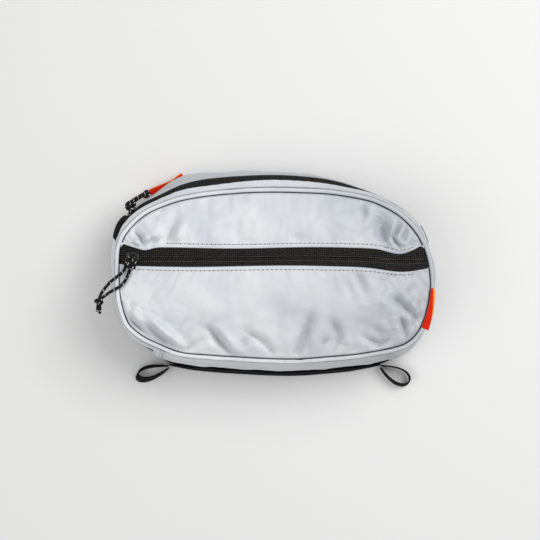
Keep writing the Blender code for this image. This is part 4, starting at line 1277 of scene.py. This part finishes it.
def tapered_plate(name, size, centre, nose, tail):
    """A bevelled plate, narrower at its nose and tail than in its middle."""
    bpy.ops.object.select_all(action="DESELECT")
    bpy.ops.mesh.primitive_cube_add(size=1)
    plate = bpy.context.object
    plate.name = name
    plate.data.transform(Matrix.Translation(centre) @ Matrix.Diagonal((*size, 1)))
    bpy.ops.object.mode_set(mode="EDIT")
    bpy.ops.mesh.subdivide(number_cuts=2)
    bpy.ops.mesh.select_mode(type="VERT")
    for limit, sign, amount in ((nose, 1, 0.45), (tail, -1, 0.45)):
        bpy.ops.mesh.select_all(action="DESELECT")
        bpy.ops.object.mode_set(mode="OBJECT")
        for vertex in plate.data.vertices:
            vertex.select = (vertex.co.x - centre[0]) * sign > size[0] * amount
        bpy.ops.object.mode_set(mode="EDIT")
        bpy.ops.transform.resize(value=(1, limit, 1))
    bpy.ops.object.mode_set(mode="OBJECT")
    apply(plate, "BEVEL", width=0.00035, segments=3, limit_method="ANGLE", angle_limit=0.6)
    return plate


def make_slider(name, joint, body, node):
    """Zip slider: tapered upper and lower plate, the post between, and the arched cord bridge."""
    bar = np.array(JOINTS[joint]["pos_m"])
    axis = np.array(JOINTS[joint]["axis"], float)
    ahead = axis / np.linalg.norm(axis)
    if node == "front_zip_slider":
        ahead = -ahead
        outward = np.array((-ahead[2], 0, ahead[0]))
    else:
        radial = np.array((bar[0], bar[1] - ZIP_CENTRE_Y, 0))
        radial /= np.linalg.norm(radial)
        middle_z = 0.0505
        rise = (bar[2] - middle_z) / 0.005
        outward = radial * math.sqrt(1 - rise ** 2) + np.array((0, 0, rise))
    across = np.cross(outward, ahead)
    placing = Matrix((ahead, across, outward)).transposed().to_4x4()
    placing.translation = Vector(bar - outward * 0.005)
    upper = tapered_plate(name, (0.0120, 0.0094, 0.0013), (0, 0, 0.00055), 0.62, 0.82)
    under = tapered_plate(name + "_under", (0.0116, 0.0090, 0.0011), (0, 0, -0.0040), 0.62, 0.82)
    post = tapered_plate(name + "_post", (0.0046, 0.0006, 0.0042), (0.0005, 0, -0.0018), 0.6, 0.6)
    bpy.ops.object.select_all(action="DESELECT")
    bpy.ops.mesh.primitive_torus_add(major_segments=40, minor_segments=12, major_radius=0.0041,
                                     minor_radius=0.00075, rotation=(math.pi / 2, 0, 0))
    bridge = bpy.context.object
    bpy.ops.object.transform_apply(location=False, rotation=True, scale=True)
    bpy.ops.object.mode_set(mode="EDIT")
    bpy.ops.mesh.select_all(action="SELECT")
    bpy.ops.mesh.bisect(plane_co=(0, 0, 0.0002), plane_no=(0, 0, 1), clear_inner=True,
                        use_fill=True)
    bpy.ops.mesh.select_all(action="SELECT")
    bpy.ops.transform.resize(value=(1.0, 1.25, 1.0))
    bpy.ops.object.mode_set(mode="OBJECT")
    bridge.data.transform(Matrix.Translation((0, 0, 0.0004)))
    bridge.data.shade_smooth()
    slider = join(name, [upper, under, post, bridge])
    slider.data.transform(placing)
    slider.data.shade_smooth()
    only(slider)
    bpy.ops.object.shade_smooth_by_angle(angle=0.7)
    done(slider, ENAMEL, body, [node])


def make_labels():
    """Plain two-colour labels, caught in the seams."""
    start = SEAM.places[int(np.argmax(SEAM.y < -0.0135))]
    places = np.linspace(start, start + 0.036 / SEAM.length, 40)
    along = np.linspace(0, 1, 40)
    rows = []
    shares = np.linspace(0, 1, 9)
    for share in shares:
        offset = 0.0003 + (0.0034 + 0.0034 * along) * share
        z = DEPTH + 0.0027 + 0.0004 * np.sin(along * 5) * share - 0.0016 * share ** 2
        rows.append(seam_point(places, offset, z))
    points = np.stack(rows, 1)
    obj = grid_mesh("side_label_cloth", points, metric_uv(points))
    band = np.clip((shares[None] - 0.50 - 0.60 * along[:, None]) * 12 + 0.5, 0, 1)
    paint_band(obj, band)
    apply(obj, "SOLIDIFY", thickness=LABEL_WALL, offset=0.0)
    done(obj, LABEL, "bag", ["side_label"])
    lift_off = 0.2701 + 0.0031
    angles = np.radians(np.linspace(-25.4, -17.4, 40))
    rows = []
    for share in shares:
        reach = lift_off + 0.0092 * share + 0.0034 * share * bump(np.degrees(angles), -17.6, 1.5)
        z = 0.0105 + 0.0007 * np.sin(angles * 40) * share
        rows.append(np.stack([reach * np.sin(angles), ZIP_CENTRE_Y + reach * np.cos(angles), z], -1))
    points = np.stack(rows, 1)
    obj = grid_mesh("top_label_cloth", points, metric_uv(points), flip=True)
    paint_band(obj, np.broadcast_to(np.clip((shares - 0.90) * 16, 0, 1)[None], points.shape[:2]))
    apply(obj, "SOLIDIFY", thickness=LABEL_WALL, offset=0.0)
    done(obj, LABEL, "bag", ["top_label"])


def paint_band(obj, amount):
    layer = obj.data.attributes.new("band", "FLOAT", "POINT")
    layer.data.foreach_set("value", np.ascontiguousarray(amount, np.float32).reshape(-1))


LASH = 0.0003 + 0.0025 + 0.0001 + 0.00065


def make_lash():
    """Webbing along the bottom seam with a loop at each end."""
    back = RINGS[3]
    end = back.places[int(np.argmax((back.y < 0) & (back.x < 0.097)))]
    places = np.linspace(end, 2 - end, 150)
    heights = np.linspace(LASH_TOP, LASH_FOOT, 9)
    run = places * back.length
    wave = ripple(run, 0 * run, 0.05, 71)
    free = np.clip((1 - np.abs(places - 1) - 0.75) / 0.08, 0, 1)
    snug = (follow(places, 4) + lean(places, 4) - 0.0003) * free * free * (3 - 2 * free)
    rows = []
    for z in heights:
        share = (z - LASH_FOOT) / LASH_WIDTH
        x, y = back.at(places, snug + LASH + 0.0015 * free * (1 - share)
                       - (0.0012 + 0.0010 * free) * share * (0.9 + 0.3 * wave))
        rows.append(np.stack([x, y, np.full_like(x, z)], -1))
    points = np.stack(rows, 1)
    obj = grid_mesh("lash_webbing", points, metric_uv(points))
    apply(obj, "SOLIDIFY", thickness=WEBBING_WALL, offset=0.0)
    done(obj, WEBBING, "bag", ["lash_tape"])
    for label, length, width, angle, droop in (("left", 0.030, 0.0105, 193.0, (-0.0008, -0.0042)),
                                               ("right", 0.031, 0.0135, -26.0, (-0.0020, -0.0012))):
        x, y, _ = JOINTS["loop_" + label + "_turn"]["pos_m"]
        turn = np.linspace(0, math.tau, 90)
        facing = math.radians(angle)
        ahead = np.array((math.cos(facing), math.sin(facing)))
        across = np.array((-math.sin(facing), math.cos(facing)))
        rows = []
        for z in np.linspace(LASH_TOP, LASH_FOOT, 9):
            share = (z - LASH_FOOT) / LASH_WIDTH
            tilt = 1 - 0.12 * share
            slip = np.sin(turn / 2)[:, None] * np.array(droop) * (1 - share)
            apart = (np.sin(turn) * np.sin(turn / 2) * width / 1.54 * tilt
                     + np.copysign(0.00095, math.pi - turn) * np.abs(np.cos(turn / 2)))
            reach = length * (1 - np.cos(turn)) / 2 * (1 - 0.07 * share)
            plan = np.array((x, y)) + reach[:, None] * ahead + apart[:, None] * across + slip
            rows.append(np.concatenate([plan, np.full((90, 1), z)], 1))
        points = np.stack(rows, 1)
        obj = grid_mesh("lash_webbing_loop_" + label, points, metric_uv(points), flip=True)
        apply(obj, "SOLIDIFY", thickness=WEBBING_WALL, offset=0.0)
        done(obj, WEBBING, "loop_" + label, ["lash_loop_" + label])


def make_back():
    """Padded back of black spacer mesh, quilted with two channels, inside its binding."""
    places = np.linspace(-1, 1, 220, endpoint=False)
    rings = []
    edge = np.stack(RINGS[3].at(places, -0.0120), -1)
    middle = np.array((0.0, -0.003))
    rim = ((0.0, 0.0045), (0.5, 0.0045), (0.94, 0.0045), (0.985, 0.0040), (1.0, 0.0026),
           (0.99, 0.0012), (0.96, 0.0004), (0.90, 0.0001))
    flat = tuple((share, 0.0) for share in (0.80, 0.70, 0.60, 0.50, 0.42, 0.34, 0.26, 0.18, 0.10, 0.0))
    for share, z in rim + flat:
        plan = middle + (edge - middle) * share
        height = np.full(len(places), z)
        if z < 0.0012:
            groove = np.exp(-((np.abs(plan[:, 0]) - 0.045) / 0.003) ** 2)
            height = height + 0.0016 * groove * (share < 0.93)
        rings.append(np.concatenate([plan, height[:, None]], 1))
    points = np.stack(rings, 1)
    obj = grid_mesh("quilted_back_pad", points, metric_uv(points), closed=True)
    weld(obj)
    done(obj, MESH, "bag", ["back_pad"])


# ---------------------------------------------------------------- finish

make_stage()
make_pull("front_pull", "front_pull_swing", FRONT_LOWER_LEG, FRONT_UPPER_LEG, FRONT_KNOT,
          (-0.55, -0.82, -0.10), FRONT_TAILS, "front_pull", (0, -1, 0))
make_pull("top_pull", "top_pull_swing", TOP_INNER_LEG, TOP_OUTER_LEG, TOP_KNOT,
          (0.08, 0.06, -1.0), TOP_TAILS, "top_pull", (-0.17, 0.32, -0.93))
make_front()
make_front_zip()
make_front_binding()
make_gusset()
make_top_zip()
end_tab(-1, 0.0024, 0.014)
end_tab(1, 0.0002, 0.0)
make_bindings_behind()
make_back()
make_slider("front_zip_slider_body", "front_pull_swing", "front_slider", "front_zip_slider")
make_slider("top_zip_slider_body", "top_pull_swing", "top_slider", "top_zip_slider")
make_labels()
make_lash()
LINING = plain_thread("dark_lining", (0.035, 0.036, 0.040), 0.8)
for label in ("front_zip_coil_upper", "front_zip_coil_lower"):
    frame["nodes"][label].data.materials[0] = COIL
for label in ("back_panel", "pocket_divider"):
    frame["nodes"][label].data.materials[0] = LINING
